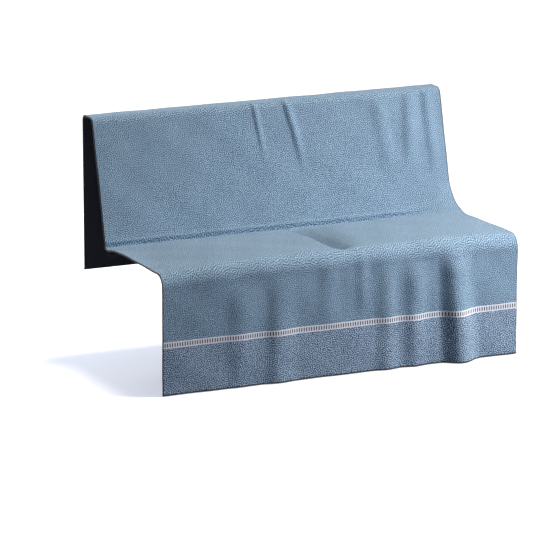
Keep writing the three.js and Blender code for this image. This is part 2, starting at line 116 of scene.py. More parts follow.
BACK_SLOPE = BACK_RISE / np.cos(BACK_LEAN)
FRONT_EDGE_AT = FRONT_DROP - FRONT_EDGE_RADIUS
SEAT_AT = FRONT_EDGE_AT + FRONT_EDGE_RADIUS * np.pi / 2
CREASE_AT = SEAT_AT + SEAT_DEPTH - FRONT_EDGE_RADIUS - CREASE_REACH
BACK_AT = CREASE_AT + crease_length(CREASE_RADIUS)
TOP_FRONT_AT = BACK_AT + BACK_SLOPE - CREASE_REACH - leg_of(TOP_FRONT_RADIUS)
TOP_AT = TOP_FRONT_AT + TOP_FRONT_RADIUS * CREASE_TURN
TOP_REAR_AT = TOP_AT + TOP_DEPTH - leg_of(TOP_FRONT_RADIUS) - TOP_REAR_RADIUS
REAR_AT = TOP_REAR_AT + TOP_REAR_RADIUS * np.pi / 2


def straight(place, length):
    """A place in the side view after a straight stretch: y, z and heading."""
    y, z, heading = place
    return y + length * np.cos(heading), z + length * np.sin(heading), heading


def turned(place, radius, angle):
    """A place in the side view after an arc, to the left for a positive angle."""
    y, z, heading = place
    side, after = np.sign(angle), heading + angle
    y = y + side * radius * (np.sin(after) - np.sin(heading))
    z = z + side * radius * (np.cos(heading) - np.cos(after))
    return y, z, after


def rise(x, start, end):
    """0 before start and 1 after end, with a smooth change between them."""
    t = np.clip((x - start) / (end - start), 0, 1)
    return t * t * (3 - 2 * t)


def bend_over_sofa(u, s):
    """Where the plain underside is, and which way it heads, at u across and s from the front hem."""
    opened = rise(u, WIDTH / 2 - CREASE_OPEN_WIDTH, WIDTH / 2)
    radius = CREASE_RADIUS + opened * (CREASE_OPEN_RADIUS - CREASE_RADIUS)
    legs = CREASE_REACH - leg_of(radius)
    done = np.clip((s - CREASE_AT) / (BACK_AT - CREASE_AT), 0, 1) * crease_length(radius)
    place = (-FRONT_REACH, -FRONT_DROP, np.pi / 2)
    place = straight(place, np.minimum(s, FRONT_EDGE_AT))
    front = np.clip(s, FRONT_EDGE_AT, SEAT_AT) - FRONT_EDGE_AT
    place = turned(place, FRONT_EDGE_RADIUS, -front / FRONT_EDGE_RADIUS)
    place = straight(place, np.clip(s, SEAT_AT, CREASE_AT) - SEAT_AT)
    place = straight(place, np.minimum(done, legs))
    place = turned(place, radius, np.clip((done - legs) / radius, 0, CREASE_TURN))
    place = straight(place, np.maximum(done - legs - radius * CREASE_TURN, 0))
    place = straight(place, np.clip(s, BACK_AT, TOP_FRONT_AT) - BACK_AT)
    over = np.clip(s, TOP_FRONT_AT, TOP_AT) - TOP_FRONT_AT
    place = turned(place, TOP_FRONT_RADIUS, -over / TOP_FRONT_RADIUS)
    place = straight(place, np.clip(s, TOP_AT, TOP_REAR_AT) - TOP_AT)
    down = np.clip(s, TOP_REAR_AT, REAR_AT) - TOP_REAR_AT
    place = turned(place, TOP_REAR_RADIUS, -down / TOP_REAR_RADIUS)
    return straight(place, np.maximum(s, REAR_AT) - REAR_AT)


def ridge(u, crest, left, right):
    """1 along a fold's crest, falling smoothly to 0 at a width on its left and one on its right."""
    away = np.where(u < crest, (crest - u) / left, (u - crest) / right)
    return np.cos(np.clip(away, 0, 1) * np.pi / 2) ** 2


# The wave of the front hem.
WAVE_CREST = WIDTH / 2 - 230 * MM
WAVE_HALF_WIDTH = 88 * MM
WAVE_OUT = 30 * MM
WAVE_HEIGHT = 310 * MM
# Soft folds: where the crest is at the fold's two ends, its width to the left and right, its height, and
# the four places along the blanket where it starts, stands full, stops being full and ends.
FOLDS = [
    # front drop
    (-0.41, -0.40, 0.06, 0.08, 0.006, -0.3, -0.1, 0.26, 0.41),
    (-0.262, -0.252, 0.055, 0.09, 0.010, -0.3, -0.1, 0.28, 0.42),
    (-0.06, -0.062, 0.05, 0.06, 0.005, 0.16, 0.32, 0.37, 0.44),
    (0.08, 0.072, 0.035, 0.035, 0.004, 0.16, 0.32, 0.38, 0.45),
    (0.180, 0.172, 0.055, 0.05, 0.009, -0.3, -0.1, 0.30, 0.43),
    (0.288, 0.28, 0.05, 0.065, 0.011, -0.3, -0.1, 0.30, 0.43),
    (0.462, 0.430, 0.062, 0.09, 0.024, -0.2, 0.20, 0.33, 0.44),
    # backrest
    (-0.036, -0.068, 0.013, 0.024, 0.006, 1.11, 1.29, 1.345, 1.385),
    (0.124, 0.058, 0.016, 0.032, 0.008, 1.06, 1.27, 1.345, 1.385),
    (0.535, 0.565, 0.035, 0.055, 0.009, 1.04, 1.21, 1.32, 1.38),
    (0.645, 0.635, 0.028, 0.04, 0.007, 1.01, 1.17, 1.33, 1.38),
    (0.462, 0.432, 0.045, 0.05, 0.007, 1.03, 1.22, 1.31, 1.37),
    # rear drop
    (-0.13, -0.11, 0.07, 0.09, 0.010, 1.46, 1.85, 2.1, 2.2),
    (0.14, 0.11, 0.06, 0.10, 0.013, 1.46, 1.80, 2.1, 2.2),
    (0.36, 0.37, 0.09, 0.07, 0.009, 1.46, 1.90, 2.1, 2.2),
    (0.58, 0.55, 0.07, 0.09, 0.014, 1.46, 1.80, 2.1, 2.2),
]
# The cloth is tucked in between seat and back, less and less towards the right edge.
CREASE_MIDDLE = (CREASE_AT + BACK_AT) / 2
CREASE_ON_SEAT = 85 * MM
CREASE_ON_BACK = 11 * MM
CREASE_TUCK = 14 * MM
CREASE_SHARPNESS = 1.5
TUCK_FADES = (0.42, 0.66)
# The two seat cushions swell under the cloth. A pair is where a change starts and ends, in metres across
# the blanket or along it, and a share is how much of the full swell a change brings or takes.
CROWN = 22 * MM
FRONT_SWELLS = (0.380, 0.452)
SEAT_FLATTENS = (0.62, 0.84)
SEAT_ENDS = (0.85, 0.91)
FLATTENING_SHARE = 0.5
LEFT_SWELLS = (-0.80, -0.40)
LEFT_ENDS = (-0.012, 0.018)
RIGHT_STEPS_UP = (0.012, 0.085)
RIGHT_SWELLS = (0.06, 0.30)
RIGHT_STEP_SHARE = 0.75
RIGHT_FALLS = (0.48, 0.80)
RIGHT_FALL_SHARE = 0.6
# The cloth spans the hollow between the cushions at the front edge and sinks into it further back.
SPAN_ENDS = (0.42, 0.52)
SPAN_SHARE = 0.85
HOLLOW_DEPTH = 21 * MM
HOLLOW_MIDDLE = 16 * MM
HOLLOW_LEFT = 45 * MM
HOLLOW_RIGHT = 130 * MM
HOLLOW_STARTS = (0.43, 0.56)
HOLLOW_ENDS = (0.78, 0.92)
# Slackness is a sum of shallow waves: metres per wave across and along, and where each one begins.
SLACK = 0.8 * MM
SLACK_WAVES = [(0.31, 0.47, 0), (0.17, -0.38, 1.3), (0.23, 0.19, 2.1)]
# The cloth lies flat at the inlet and the label, and is pulled nearly taut over the top of the back.
FLAT_ALONG = (1.42, 1.50)
FLAT_ACROSS = (-0.33, -0.20)
TAUT_SHARE = 0.75
TAUT_FRONT = 0.11
TAUT_REAR = 0.09


def relief(u, s):
    """How far the cloth stands off the plain bend: over the cushions, in folds and at the hem."""
    out = WAVE_OUT * ridge(u, WAVE_CREST, WAVE_HALF_WIDTH, WAVE_HALF_WIDTH)
    out = out * np.clip(1 - s / WAVE_HEIGHT, 0, 1)
    left_cushion = rise(u, *LEFT_SWELLS) * (1 - rise(u, *LEFT_ENDS))
    right_cushion = RIGHT_STEP_SHARE * rise(u, *RIGHT_STEPS_UP)
    right_cushion = right_cushion + (1 - RIGHT_STEP_SHARE) * rise(u, *RIGHT_SWELLS)
    right_fall = 1 - RIGHT_FALL_SHARE * rise(u, *RIGHT_FALLS)
    cushions = left_cushion + right_cushion * right_fall
    spanned = rise(u, *LEFT_SWELLS) * right_fall
    cushions = cushions + (spanned - cushions) * SPAN_SHARE * (1 - rise(s, *SPAN_ENDS))
    flattened = FLATTENING_SHARE * rise(s, *SEAT_FLATTENS)
    plump = rise(s, *FRONT_SWELLS) * (1 - flattened - FLATTENING_SHARE * rise(s, *SEAT_ENDS))
    out = out + CROWN * plump * cushions
    hollow = ridge(u, HOLLOW_MIDDLE, HOLLOW_LEFT, HOLLOW_RIGHT) * rise(s, *HOLLOW_STARTS)
    out = out - HOLLOW_DEPTH * (hollow * (1 - rise(s, *HOLLOW_ENDS)))
    from_crease = s - CREASE_MIDDLE
    away = np.where(from_crease < 0, -from_crease / CREASE_ON_SEAT, from_crease / CREASE_ON_BACK)
    tucked = np.clip(1 - away, 0, 1) ** CREASE_SHARPNESS
    out = out - CREASE_TUCK * tucked * (1 - rise(u, *TUCK_FADES))
    for low_crest, high_crest, left, right, height, start, full, full_end, end in FOLDS:
        crest = low_crest + (high_crest - low_crest) * np.clip((s - start) / (end - start), 0, 1)
        along = rise(s, start, full) * (1 - rise(s, full_end, end))
        out = out + height * ridge(u, crest, left, right) * along
    slack = sum(
        np.sin(2 * np.pi * (u / across + s / along) + phase) for across, along, phase in SLACK_WAVES
    )
    flat_place = rise(s, *FLAT_ALONG) * (1 - rise(u, *FLAT_ACROSS))
    taut_top = TAUT_SHARE * ridge(s, (TOP_AT + TOP_REAR_AT) / 2, TAUT_FRONT, TAUT_REAR)
    return out + SLACK * slack * (1 - flat_place) * (1 - taut_top)


def drape(u, s, depth):
    """Lays flat points on the sofa: depth runs outwards from the lining's underside."""
    y, z, heading = bend_over_sofa(u, s)
    out = depth + relief(u, s)
    return np.stack([u + 0 * s, y - out * np.sin(heading), z + out * np.cos(heading)], axis=-1)


def spaced(spans):
    """Lines over joined spans, each span an end and the step up to it. The first is a start alone."""
    lines = [spans[0]]
    for end, step in spans[1:]:
        count = max(1, round((end - lines[-1]) / step))
        lines.extend(np.linspace(lines[-1], end, count + 1)[1:])
    return np.array(lines)


# The window for the leads, in the layers behind the rear drop.
WINDOW_LEFT, WINDOW_RIGHT = -579 * MM, -557 * MM
WINDOW_LOW, WINDOW_HIGH = 1888 * MM, 1932 * MM
# All layers share these lines, closer where the cloth bends more, so that none comes through another.
COLUMNS = spaced(
    [
        -LAYER_SIDE,
        (WINDOW_LEFT, 0.011),
        (WINDOW_RIGHT, 0.011),
        (-0.09, 0.010),
        (0.05, 0.004),
        (0.13, 0.0045),
        (0.36, 0.009),
        (0.66, 0.006),
        (LAYER_SIDE, 0.009),
    ]
)
ROWS = spaced(
    [
        LAYER_FIRST,
        (BORDER_HEIGHT - GAP / 2, 0.010),
        (TRIM_LOW, 0.01),
        (TRIM_HIGH, 0.0115),
        (FACE_FIRST, 0.01),
        (0.38, 0.010),
        (0.46, 0.005),
        (0.86, 0.010),
        (0.90, 0.005),
        (0.93, 0.0025),
        (0.95, 0.005),
        (1.34, 0.010),
        (1.38, 0.0035),
        (1.42, 0.010),
        (1.45, 0.0035),
        (LENGTH - FACE_FIRST, 0.014),
        (LENGTH - TRIM_HIGH, 0.01),
        (LENGTH - TRIM_LOW, 0.0115),
        (LENGTH - BORDER_HEIGHT + GAP / 2, 0.01),
        (WINDOW_LOW, 0.014),
        (WINDOW_HIGH, 0.011),
        (LAYER_LAST, 0.013),
    ]
)


SHARP_ANGLE = np.radians(55)


def mesh_piece(name, points, faces, flat_points):
    """A new mesh object, with each point's flat place kept as the attribute that patterns read."""
    faces = [np.asarray(group) for group in faces if len(group)]
    used, again = np.unique(np.concatenate([f.ravel() for f in faces]), return_inverse=True)
    split = np.cumsum([f.size for f in faces])[:-1]
    parts = np.split(again.ravel(), split)
    listed = [row for part, f in zip(parts, faces) for row in part.reshape(f.shape).tolist()]
    mesh = bpy.data.meshes.new(name)
    mesh.from_pydata(points[used].tolist(), [], listed)
    flat = mesh.attributes.new("cut", "FLOAT_VECTOR", "POINT")
    flat.data.foreach_set("vector", np.ascontiguousarray(flat_points[used], np.float32).ravel())
    mesh.shade_smooth()
    mesh.set_sharp_from_angle(angle=SHARP_ANGLE)
    piece = bpy.data.objects.new(name, mesh)
    bpy.context.scene.collection.objects.link(piece)
    return piece


def closed_sheet(name, columns, rows, depth_from, depth_to, keep=None):
    """A draped layer between two depths, closed all round. keep says which cells of cloth are there."""
    u, s = np.meshgrid(columns, rows)
    flat = np.concatenate(
        [
            np.stack([u, s, np.full_like(u, depth)], axis=-1).reshape(-1, 3)
            for depth in (depth_from, depth_to)
        ]
    )
    points = drape(flat[:, 0], flat[:, 1], flat[:, 2])
    across, side = len(columns), len(columns) * len(rows)
    r, c = np.meshgrid(np.arange(len(rows) - 1), np.arange(across - 1), indexing="ij")
    here = np.ones(r.shape, bool)
    if keep is not None:
        middle_u, middle_s = (columns[:-1] + columns[1:]) / 2, (rows[:-1] + rows[1:]) / 2
        here = keep(*np.meshgrid(middle_u, middle_s))
    rim = np.pad(here, 1)
    low_left = r * across + c
    low_right, high_left = low_left + 1, low_left + across
    high_right = high_left + 1

    def walls(beside, start, end):
        """Quads up the cloth's thickness, where there is no cloth in the cell beside."""
        open_here = here & ~beside
        start, end = start[open_here], end[open_here]
        return np.stack([start, end, end + side, start + side], axis=-1)

    faces = [
        np.stack([low_left, low_right, high_right, high_left], axis=-1)[here] + side,
        np.stack([low_left, high_left, high_right, low_right], axis=-1)[here],
        walls(rim[:-2, 1:-1], low_left, low_right),
        walls(rim[2:, 1:-1], high_right, high_left),
        walls(rim[1:-1, :-2], high_left, low_left),
        walls(rim[1:-1, 2:], low_right, high_right),
    ]
    return mesh_piece(name, points, faces, flat)


def stretch(low, high):
    """The shared rows of a layer that runs from low to high, with both of its ends."""
    inside = ROWS[(ROWS > low + GAP) & (ROWS < high - GAP)]
    return np.concatenate([[low], inside, [high]])


def around_window(u, s):
    """True for the cloth around the leads' window."""
    across = (u > WINDOW_LEFT) & (u < WINDOW_RIGHT)
    return ~(across & (s > WINDOW_LOW) & (s < WINDOW_HIGH))


def colour(hex_code):
    """An sRGB hex colour as the linear colour a shader takes."""
    parts = [int(hex_code[i : i + 2], 16) / 255 for i in (1, 3, 5)]
    return [x / 12.92 if x <= 0.04045 else ((x + 0.055) / 1.055) ** 2.4 for x in parts] + [1]


def add_node(material, kind, settings=None, inputs=None):
    """Adds a node to a material. An input takes a plain value or another node's output."""
    made = material.node_tree.nodes.new(kind)
    for name, value in (settings or {}).items():
        setattr(made, name, value)
    for name, value in (inputs or {}).items():
        if isinstance(value, bpy.types.NodeSocket):
            material.node_tree.links.new(value, made.inputs[name])
        else:
            made.inputs[name].default_value = value
    return made


# Blender's wave texture turns once in this share of a metre at scale 1.
WAVE_TEXTURE_TURN = 2 * np.pi / 20
# A mix node blends colours with this setting. Its colour sockets lie among those for other values.
OF_COLOURS = {"data_type": "RGBA"}
MIX_A, MIX_B, MIX_RESULT = 6, 7, 2


def new_material(name, draped=True):
    """An empty material, and the place its patterns read: the flat place of a draped piece's point."""
    material = bpy.data.materials.new(name)
    material.use_nodes = True
    material.node_tree.nodes.clear()
    if draped:
        place = add_node(material, "ShaderNodeAttribute", {"attribute_name": "cut"}).outputs["Vector"]
    else:
        place = add_node(material, "ShaderNodeTexCoord").outputs["Object"]
    return material, place


def finished(material, inputs):
    """Ends a material with its shader."""
    shader = add_node(material, "ShaderNodeBsdfPrincipled", inputs=inputs)
    add_node(material, "ShaderNodeOutputMaterial", inputs={"Surface": shader.outputs["BSDF"]})
    return material


def threads(material, place, pitch):
    """Warp and weft as two crossing waves: returns their joint height, 0 to 1."""
    scale = WAVE_TEXTURE_TURN / pitch
    rows = [
        add_node(
            material,
            "ShaderNodeTexWave",
            {"bands_direction": direction},
            {"Vector": place, "Scale": scale, "Distortion": 0.6, "Detail": 1.0, "Detail Scale": 0.4},
        ).outputs["Fac"]
        for direction in ("X", "Y")
    ]
    product = add_node(material, "ShaderNodeMath", {"operation": "MULTIPLY"}, {0: rows[0], 1: rows[1]})
    return product.outputs["Value"]


def lining_material():
    """Warp-knitted polyester, dyed charcoal: matt, finely ribbed, faintly clouded over 11 cm or so."""
    material, flat = new_material("knitted_polyester_lining")
    # Real wales are 0.8 mm apart. They are drawn at 2 mm so that they show.
    rib = threads(material, flat, 2.0 * MM)
    cloud = add_node(
        material, "ShaderNodeTexNoise", inputs={"Vector": flat, "Scale": 9, "Detail": 3}
    ).outputs["Fac"]
    base = add_node(
        material,
        "ShaderNodeMix",
        OF_COLOURS,
        {0: cloud, MIX_A: colour("#25272f"), MIX_B: colour("#3a3d48")},
    ).outputs[MIX_RESULT]
    ribbed = add_node(
        material,
        "ShaderNodeMix",
        OF_COLOURS,
        {0: rib, MIX_A: base, MIX_B: colour("#4a4e5a")},
    ).outputs[MIX_RESULT]
    normal = add_node(
        material, "ShaderNodeBump", inputs={"Height": rib, "Distance": 0.25 * MM}
    ).outputs["Normal"]
    return finished(
        material,
        {
            "Base Color": ribbed,
            "Normal": normal,
            "Roughness": 0.92,
            "Sheen Weight": 0.25,
            "Sheen Roughness": 0.5,
        },
    )


lining = closed_sheet("draped_lining", COLUMNS, ROWS, 0, LINING, around_window)
lining.data.materials.append(lining_material())
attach(lining, "root")
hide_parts("back_cloth")

# ---- reflector film ----
# A thin metallised polyester film over the lining, which sends the heat up. It is crinkled from being
# folded, and only the blanket's inside sees it.
FILM_FROM = LINING + GAP
FILM_TOP = FILM_FROM + 0.25 * MM


def film_material():
    """Vacuum-metallised polyester: a mirror broken up by crinkles about 25 mm across."""
    material, flat = new_material("metallised_polyester_film")
    crinkle = add_node(
        material,
        "ShaderNodeTexVoronoi",
        {"feature": "F1"},
        {"Vector": flat, "Scale": 40, "Randomness": 1.0},
    ).outputs["Distance"]
    dull = add_node(
        material, "ShaderNodeTexNoise", inputs={"Vector": flat, "Scale": 60, "Detail": 3}
    ).outputs["Fac"]
    base = add_node(
        material,
        "ShaderNodeMix",
        OF_COLOURS,
        {0: dull, MIX_A: colour("#a9aeb4"), MIX_B: colour("#d2d6da")},
    ).outputs[MIX_RESULT]
    rough = add_node(
        material, "ShaderNodeMapRange", inputs={"Value": dull, "To Min": 0.2, "To Max": 0.42}
    ).outputs["Result"]
    normal = add_node(
        material, "ShaderNodeBump", inputs={"Height": crinkle, "Distance": 1.5 * MM}
    ).outputs["Normal"]
    return finished(
        material, {"Base Color": base, "Roughness": rough, "Normal": normal, "Metallic": 1.0}
    )


film = closed_sheet("draped_reflector_film", COLUMNS, ROWS, FILM_FROM, FILM_TOP, around_window)
film.data.materials.append(film_material())
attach(film, "root")
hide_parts("reflector_film")

# ---- insulating felt ----
# Needled white polyester felt, 0.8 mm thick, loose between the film and the face cloth and held at the
# edges by the binding. It keeps the heat from the sofa, and the wires are stitched down on it.
FELT_FROM = FILM_TOP + GAP
FELT_TOP = FELT_FROM + 0.8 * MM


def felt_material():
    """Needle-punched felt: soft and white, with fibres tangled in tufts about 1 mm across."""
    material, flat = new_material("needled_felt")
    tangle = add_node(
        material,
        "ShaderNodeTexNoise",
        inputs={"Vector": flat, "Scale": 900, "Detail": 4, "Distortion": 1.5},
    ).outputs["Fac"]
    base = add_node(
        material,
        "ShaderNodeMix",
        OF_COLOURS,
        {0: tangle, MIX_A: colour("#c9c6bd"), MIX_B: colour("#eeece6")},
    ).outputs[MIX_RESULT]
    normal = add_node(
        material, "ShaderNodeBump", inputs={"Height": tangle, "Distance": 0.3 * MM}
    ).outputs["Normal"]
    return finished(
        material,
        {"Base Color": base, "Normal": normal, "Roughness": 1.0, "Sheen Weight": 0.3},
    )


felt = closed_sheet("draped_insulating_felt", COLUMNS, ROWS, FELT_FROM, FELT_TOP, around_window)
felt.data.materials.append(felt_material())
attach(felt, "root")
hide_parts("insulating_felt")

# ---- heating wires ----
# Two resistance wires in red silicone, 1.5 mm across, one under the seat and one under the back. Each
# goes to and fro six times across the blanket, stitched down on the felt.
WIRE_SPACE = 1.8 * MM
WIRE_DEPTH = FELT_TOP + GAP + WIRE_SPACE / 2
WIRE_RADIUS = 0.75 * MM
RUNS = 6
RUN_REACH = WIDTH / 2 - 110 * MM
RUN_FROM_FOLD = 28 * MM
RING = 10
WIRE_STEP = 8 * MM
TURN_POINTS = 13


def tube_faces(rings, around):
    """The quads of a tube between its rings of points, and the two faces that close its ends."""
    first = (np.arange(rings - 1) * around)[:, None]
    k = np.arange(around)
    low, high = first + k, first + (k + 1) % around
    sides = np.stack([low, low + around, high + around, high], axis=-1).reshape(-1, 4)
    ends = np.stack([k, (rings - 1) * around + k[::-1]])
    return sides, ends


def even_path(points, step):
    """A flat path's points, with more put in where two are further apart than a step."""
    points = np.asarray(points, float)
    made = [points[:1]]
    for start, end in zip(points[:-1], points[1:]):
        count = max(1, int(np.ceil(np.linalg.norm(end - start) / step)))
        made.append(start + (end - start) * (np.arange(1, count + 1) / count)[:, None])
    return np.concatenate(made)


def laid_wire(name, flat_path, radii):
    """A round wire along a flat path, draped with the layers. radii is one radius or one per ring."""
    path = even_path(flat_path, WIRE_STEP)
    radii = np.broadcast_to(radii, len(path))
    before = np.diff(path, axis=0, prepend=path[:1])
    before[0] = path[1] - path[0]
    after = np.diff(path, axis=0, append=path[-1:])
    after[-1] = path[-1] - path[-2]
    unit = [v / np.linalg.norm(v, axis=1)[:, None] for v in (before, after)]
    along = unit[0] + unit[1]
    along /= np.linalg.norm(along, axis=1)[:, None]
    side = np.cross(along, [0, 0, 1])
    side /= np.linalg.norm(side, axis=1)[:, None]
    up = np.cross(side, along)
    angle = np.arange(RING) * 2 * np.pi / RING
    ring = side[:, None] * np.cos(angle)[:, None] + up[:, None] * np.sin(angle)[:, None]
    flat = (path[:, None] + ring * radii[:, None, None]).reshape(-1, 3)
    points = drape(flat[:, 0], flat[:, 1], flat[:, 2])
    return mesh_piece(name, points, tube_faces(len(path), RING), flat)


def clouded_material(name, scale, detail, dark, light, roughness, depth, metallic=0.0, draped=True):
    """A smooth surface that clouds in colour and shine. scale is how many clouds there are to a metre."""
    material, place = new_material(name, draped)
    cloud = add_node(
        material, "ShaderNodeTexNoise", inputs={"Vector": place, "Scale": scale, "Detail": detail}
    ).outputs["Fac"]
    base = add_node(
        material,
        "ShaderNodeMix",
        OF_COLOURS,
        {0: cloud, MIX_A: colour(dark), MIX_B: colour(light)},
    ).outputs[MIX_RESULT]
    rough = add_node(
        material,
        "ShaderNodeMapRange",
        inputs={"Value": cloud, "To Min": roughness[0], "To Max": roughness[1]},
    ).outputs["Result"]
    normal = add_node(
        material, "ShaderNodeBump", inputs={"Height": cloud, "Distance": depth}
    ).outputs["Normal"]
    return finished(
        material, {"Base Color": base, "Roughness": rough, "Normal": normal, "Metallic": metallic}
    )


# Extruded silicone rubber has a soft shine, broken by a dusting of talc in clouds about 8 mm long.
silicone = clouded_material(
    "red_silicone_sheath", 120, 4, "#9c2c25", "#b8453b", (0.38, 0.6), 0.05 * MM
)


def to_and_fro(first, pitch):
    """The flat path of one heating wire: straight runs across, joined by half circles."""
    points = []
    turn = np.linspace(0, np.pi, TURN_POINTS)[1:-1]
    for run in range(RUNS):
        s = first + run * pitch
        side = -1 if run % 2 else 1
        points += [(-side * RUN_REACH, s, WIRE_DEPTH), (side * RUN_REACH, s, WIRE_DEPTH)]
        if run < RUNS - 1:
            points += [
                (
                    side * (RUN_REACH + pitch / 2 * np.sin(angle)),
                    s + pitch / 2 * (1 - np.cos(angle)),
                    WIRE_DEPTH,
                )
                for angle in turn
            ]
    return points


circuits = {}
for circuit, low, high in (("seat", SEAT_AT, CREASE_AT), ("back", BACK_AT, TOP_FRONT_AT)):
    first_run, last_run = low + RUN_FROM_FOLD, high - RUN_FROM_FOLD
    circuits[circuit] = (first_run, last_run)
    wire = laid_wire(
        f"laid_heating_wire_{circuit}",
        to_and_fro(first_run, (last_run - first_run) / (RUNS - 1)),
        WIRE_RADIUS,
    )
    wire.data.materials.append(silicone)
    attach(wire, "root")
    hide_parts(f"heating_wire_{circuit}")

# ---- crimp sleeves ----
# Tinned copper sleeves, 8 mm long, crimped over each wire's end and the lead that feeds it. The
# crimping tool leaves two waists.
SLEEVE_LENGTH = 8 * MM
SLEEVE_RADIUS = 0.88 * MM
SLEEVE_RIGHT = -RUN_REACH - GAP
SLEEVE_LEFT = SLEEVE_RIGHT - SLEEVE_LENGTH


# Tin plate is pale and slightly hazy, with marks from drawing a little over 1 mm apart.
tinned = clouded_material(
    "tinned_copper", 800, 4, "#b4b6b8", "#d6d8da", (0.25, 0.45), 0.03 * MM, metallic=1.0
)
waists = np.array([0.93, 1, 1, 0.8, 0.8, 1, 1, 0.8, 0.8, 1, 1, 0.93])
for circuit, ends in circuits.items():
    for number, s in enumerate(ends, 1):
        marks = np.linspace(SLEEVE_LEFT, SLEEVE_RIGHT, len(waists))
        sleeve = laid_wire(
            f"laid_crimp_sleeve_{circuit}_{number}",
            [(u, s, WIRE_DEPTH) for u in marks],
            SLEEVE_RADIUS * waists,
        )
        sleeve.data.materials.append(tinned)
        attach(sleeve, "root")
        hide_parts(f"crimp_sleeve_{circuit}_{number}")

# ---- thermal cut-outs ----
# A flat moulded cut-out in series with each wire opens if the blanket overheats. Rounded edges, and a
# step at each end where the lead goes in.
CUTOUT_LENGTH = 14 * MM
CUTOUT_WIDTH = 6 * MM
CUTOUT_RIGHT = SLEEVE_LEFT - GAP
CUTOUT_LEFT = CUTOUT_RIGHT - CUTOUT_LENGTH
CUTOUT_RING = 16
CUTOUT_LOW, CUTOUT_HIGH = FELT_TOP + GAP, FELT_TOP + GAP + WIRE_SPACE
# How square the case's oval section is across and in depth: 1 is an ellipse, 0 a rectangle.
OVAL_ACROSS = 0.45
OVAL_DEPTH = 0.6
# The case thins less than it narrows: this share of its thickness follows its width.
THINNING = 0.2


def moulded_material(name, dark, light):
    """Glass-filled nylon, spark-eroded mould: a fine dull grain, a little brighter where it is rubbed."""
    material, place = new_material(name, draped=False)
    # The real grain is 0.2 mm. It is drawn at 0.7 mm so that it shows.
    grain = add_node(
        material, "ShaderNodeTexNoise", inputs={"Vector": place, "Scale": 1400, "Detail": 3}
    ).outputs["Fac"]
    rubbed = add_node(
        material, "ShaderNodeTexNoise", inputs={"Vector": place, "Scale": 60, "Detail": 4}
    ).outputs["Fac"]
    base = add_node(
        material,
        "ShaderNodeMix",
        OF_COLOURS,
        {0: rubbed, MIX_A: colour(dark), MIX_B: colour(light)},
    ).outputs[MIX_RESULT]
    rough = add_node(
        material, "ShaderNodeMapRange", inputs={"Value": rubbed, "To Min": 0.4, "To Max": 0.6}
    ).outputs["Result"]
    normal = add_node(
        material, "ShaderNodeBump", inputs={"Height": grain, "Distance": 0.06 * MM}
    ).outputs["Normal"]
    return finished(material, {"Base Color": base, "Roughness": rough, "Normal": normal})


cutout_plastic = moulded_material("glass_filled_nylon_black", "#1f2024", "#2e3036")
# Places along the case, as shares of its length, and its width there as a share of the full width.
case_marks = np.array([0, 0.02, 0.1, 0.12, 0.3, 0.5, 0.7, 0.88, 0.9, 0.98, 1.0])
case_widths = np.array([0.42, 0.55, 0.55, 0.97, 1, 1, 1, 0.97, 0.55, 0.55, 0.42])
around = (np.arange(CUTOUT_RING) + 0.5) * 2 * np.pi / CUTOUT_RING
oval_across = np.sign(np.cos(around)) * np.abs(np.cos(around)) ** OVAL_ACROSS
oval_depth = np.sign(np.sin(around)) * np.abs(np.sin(around)) ** OVAL_DEPTH
for circuit, (_, last_run) in circuits.items():
    flat = np.array(
        [
            (
                CUTOUT_LEFT + mark * CUTOUT_LENGTH,
                last_run - across * wide * CUTOUT_WIDTH / 2,
                (CUTOUT_LOW + CUTOUT_HIGH) / 2
                + deep * (CUTOUT_HIGH - CUTOUT_LOW) / 2 * (1 - THINNING + THINNING * wide),
            )
            for mark, wide in zip(case_marks, case_widths)
            for across, deep in zip(oval_across, oval_depth)
        ]
    )
    cutout = mesh_piece(
        f"laid_thermal_cutout_{circuit}",
        drape(flat[:, 0], flat[:, 1], flat[:, 2]),
        tube_faces(len(case_marks), CUTOUT_RING),
        flat,
    )
    cutout.data.materials.append(cutout_plastic)
    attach(cutout, "root")
    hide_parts(f"thermal_cutout_{circuit}")

# ---- supply leads and sensor ----
# Four leads in black PVC, 1.6 mm across, and the sensor's thinner one. They run in a row along the left
# edge, over the top and down, and through the window into the inlet.
LEAD_RADIUS = 0.8 * MM
SENSOR_LEAD_RADIUS = 0.6 * MM
SENSOR_LENGTH = 6 * MM
LEAD_ROW = 60 * MM - WIDTH / 2
LEAD_PITCH = 10 * MM
LEAD_CORNER = 3 * MM
LEAD_PLACES = 5
CAVITY_LOW, CAVITY_HIGH = 1887 * MM, 1933 * MM
ENTRY_MARGIN = 7 * MM
LEAD_SINK = -9.7 * MM
# A lead goes down through the window between these distances from its left and its right end.
DIVE_FROM_LEFT = 3 * MM
DIVE_TO_RIGHT = 5 * MM


def lead_path(start_u, start_s, place):
    """A lead's flat path from its start to the terminal block. place 0 is the row's innermost."""
    u = LEAD_ROW - place * LEAD_PITCH
    span = CAVITY_HIGH - CAVITY_LOW - 2 * ENTRY_MARGIN
    s = CAVITY_LOW + ENTRY_MARGIN + place / (LEAD_PLACES - 1) * span
    return [
        (start_u, start_s, WIRE_DEPTH),
        (u + LEAD_CORNER, start_s, WIRE_DEPTH),
        (u, start_s + LEAD_CORNER, WIRE_DEPTH),
        (u, s - LEAD_CORNER, WIRE_DEPTH),
        (u + LEAD_CORNER, s, WIRE_DEPTH),
        (WINDOW_LEFT + DIVE_FROM_LEFT, s, WIRE_DEPTH),
        (WINDOW_RIGHT - DIVE_TO_RIGHT, s, LEAD_SINK),
        (WINDOW_RIGHT, s, LEAD_SINK),
    ]


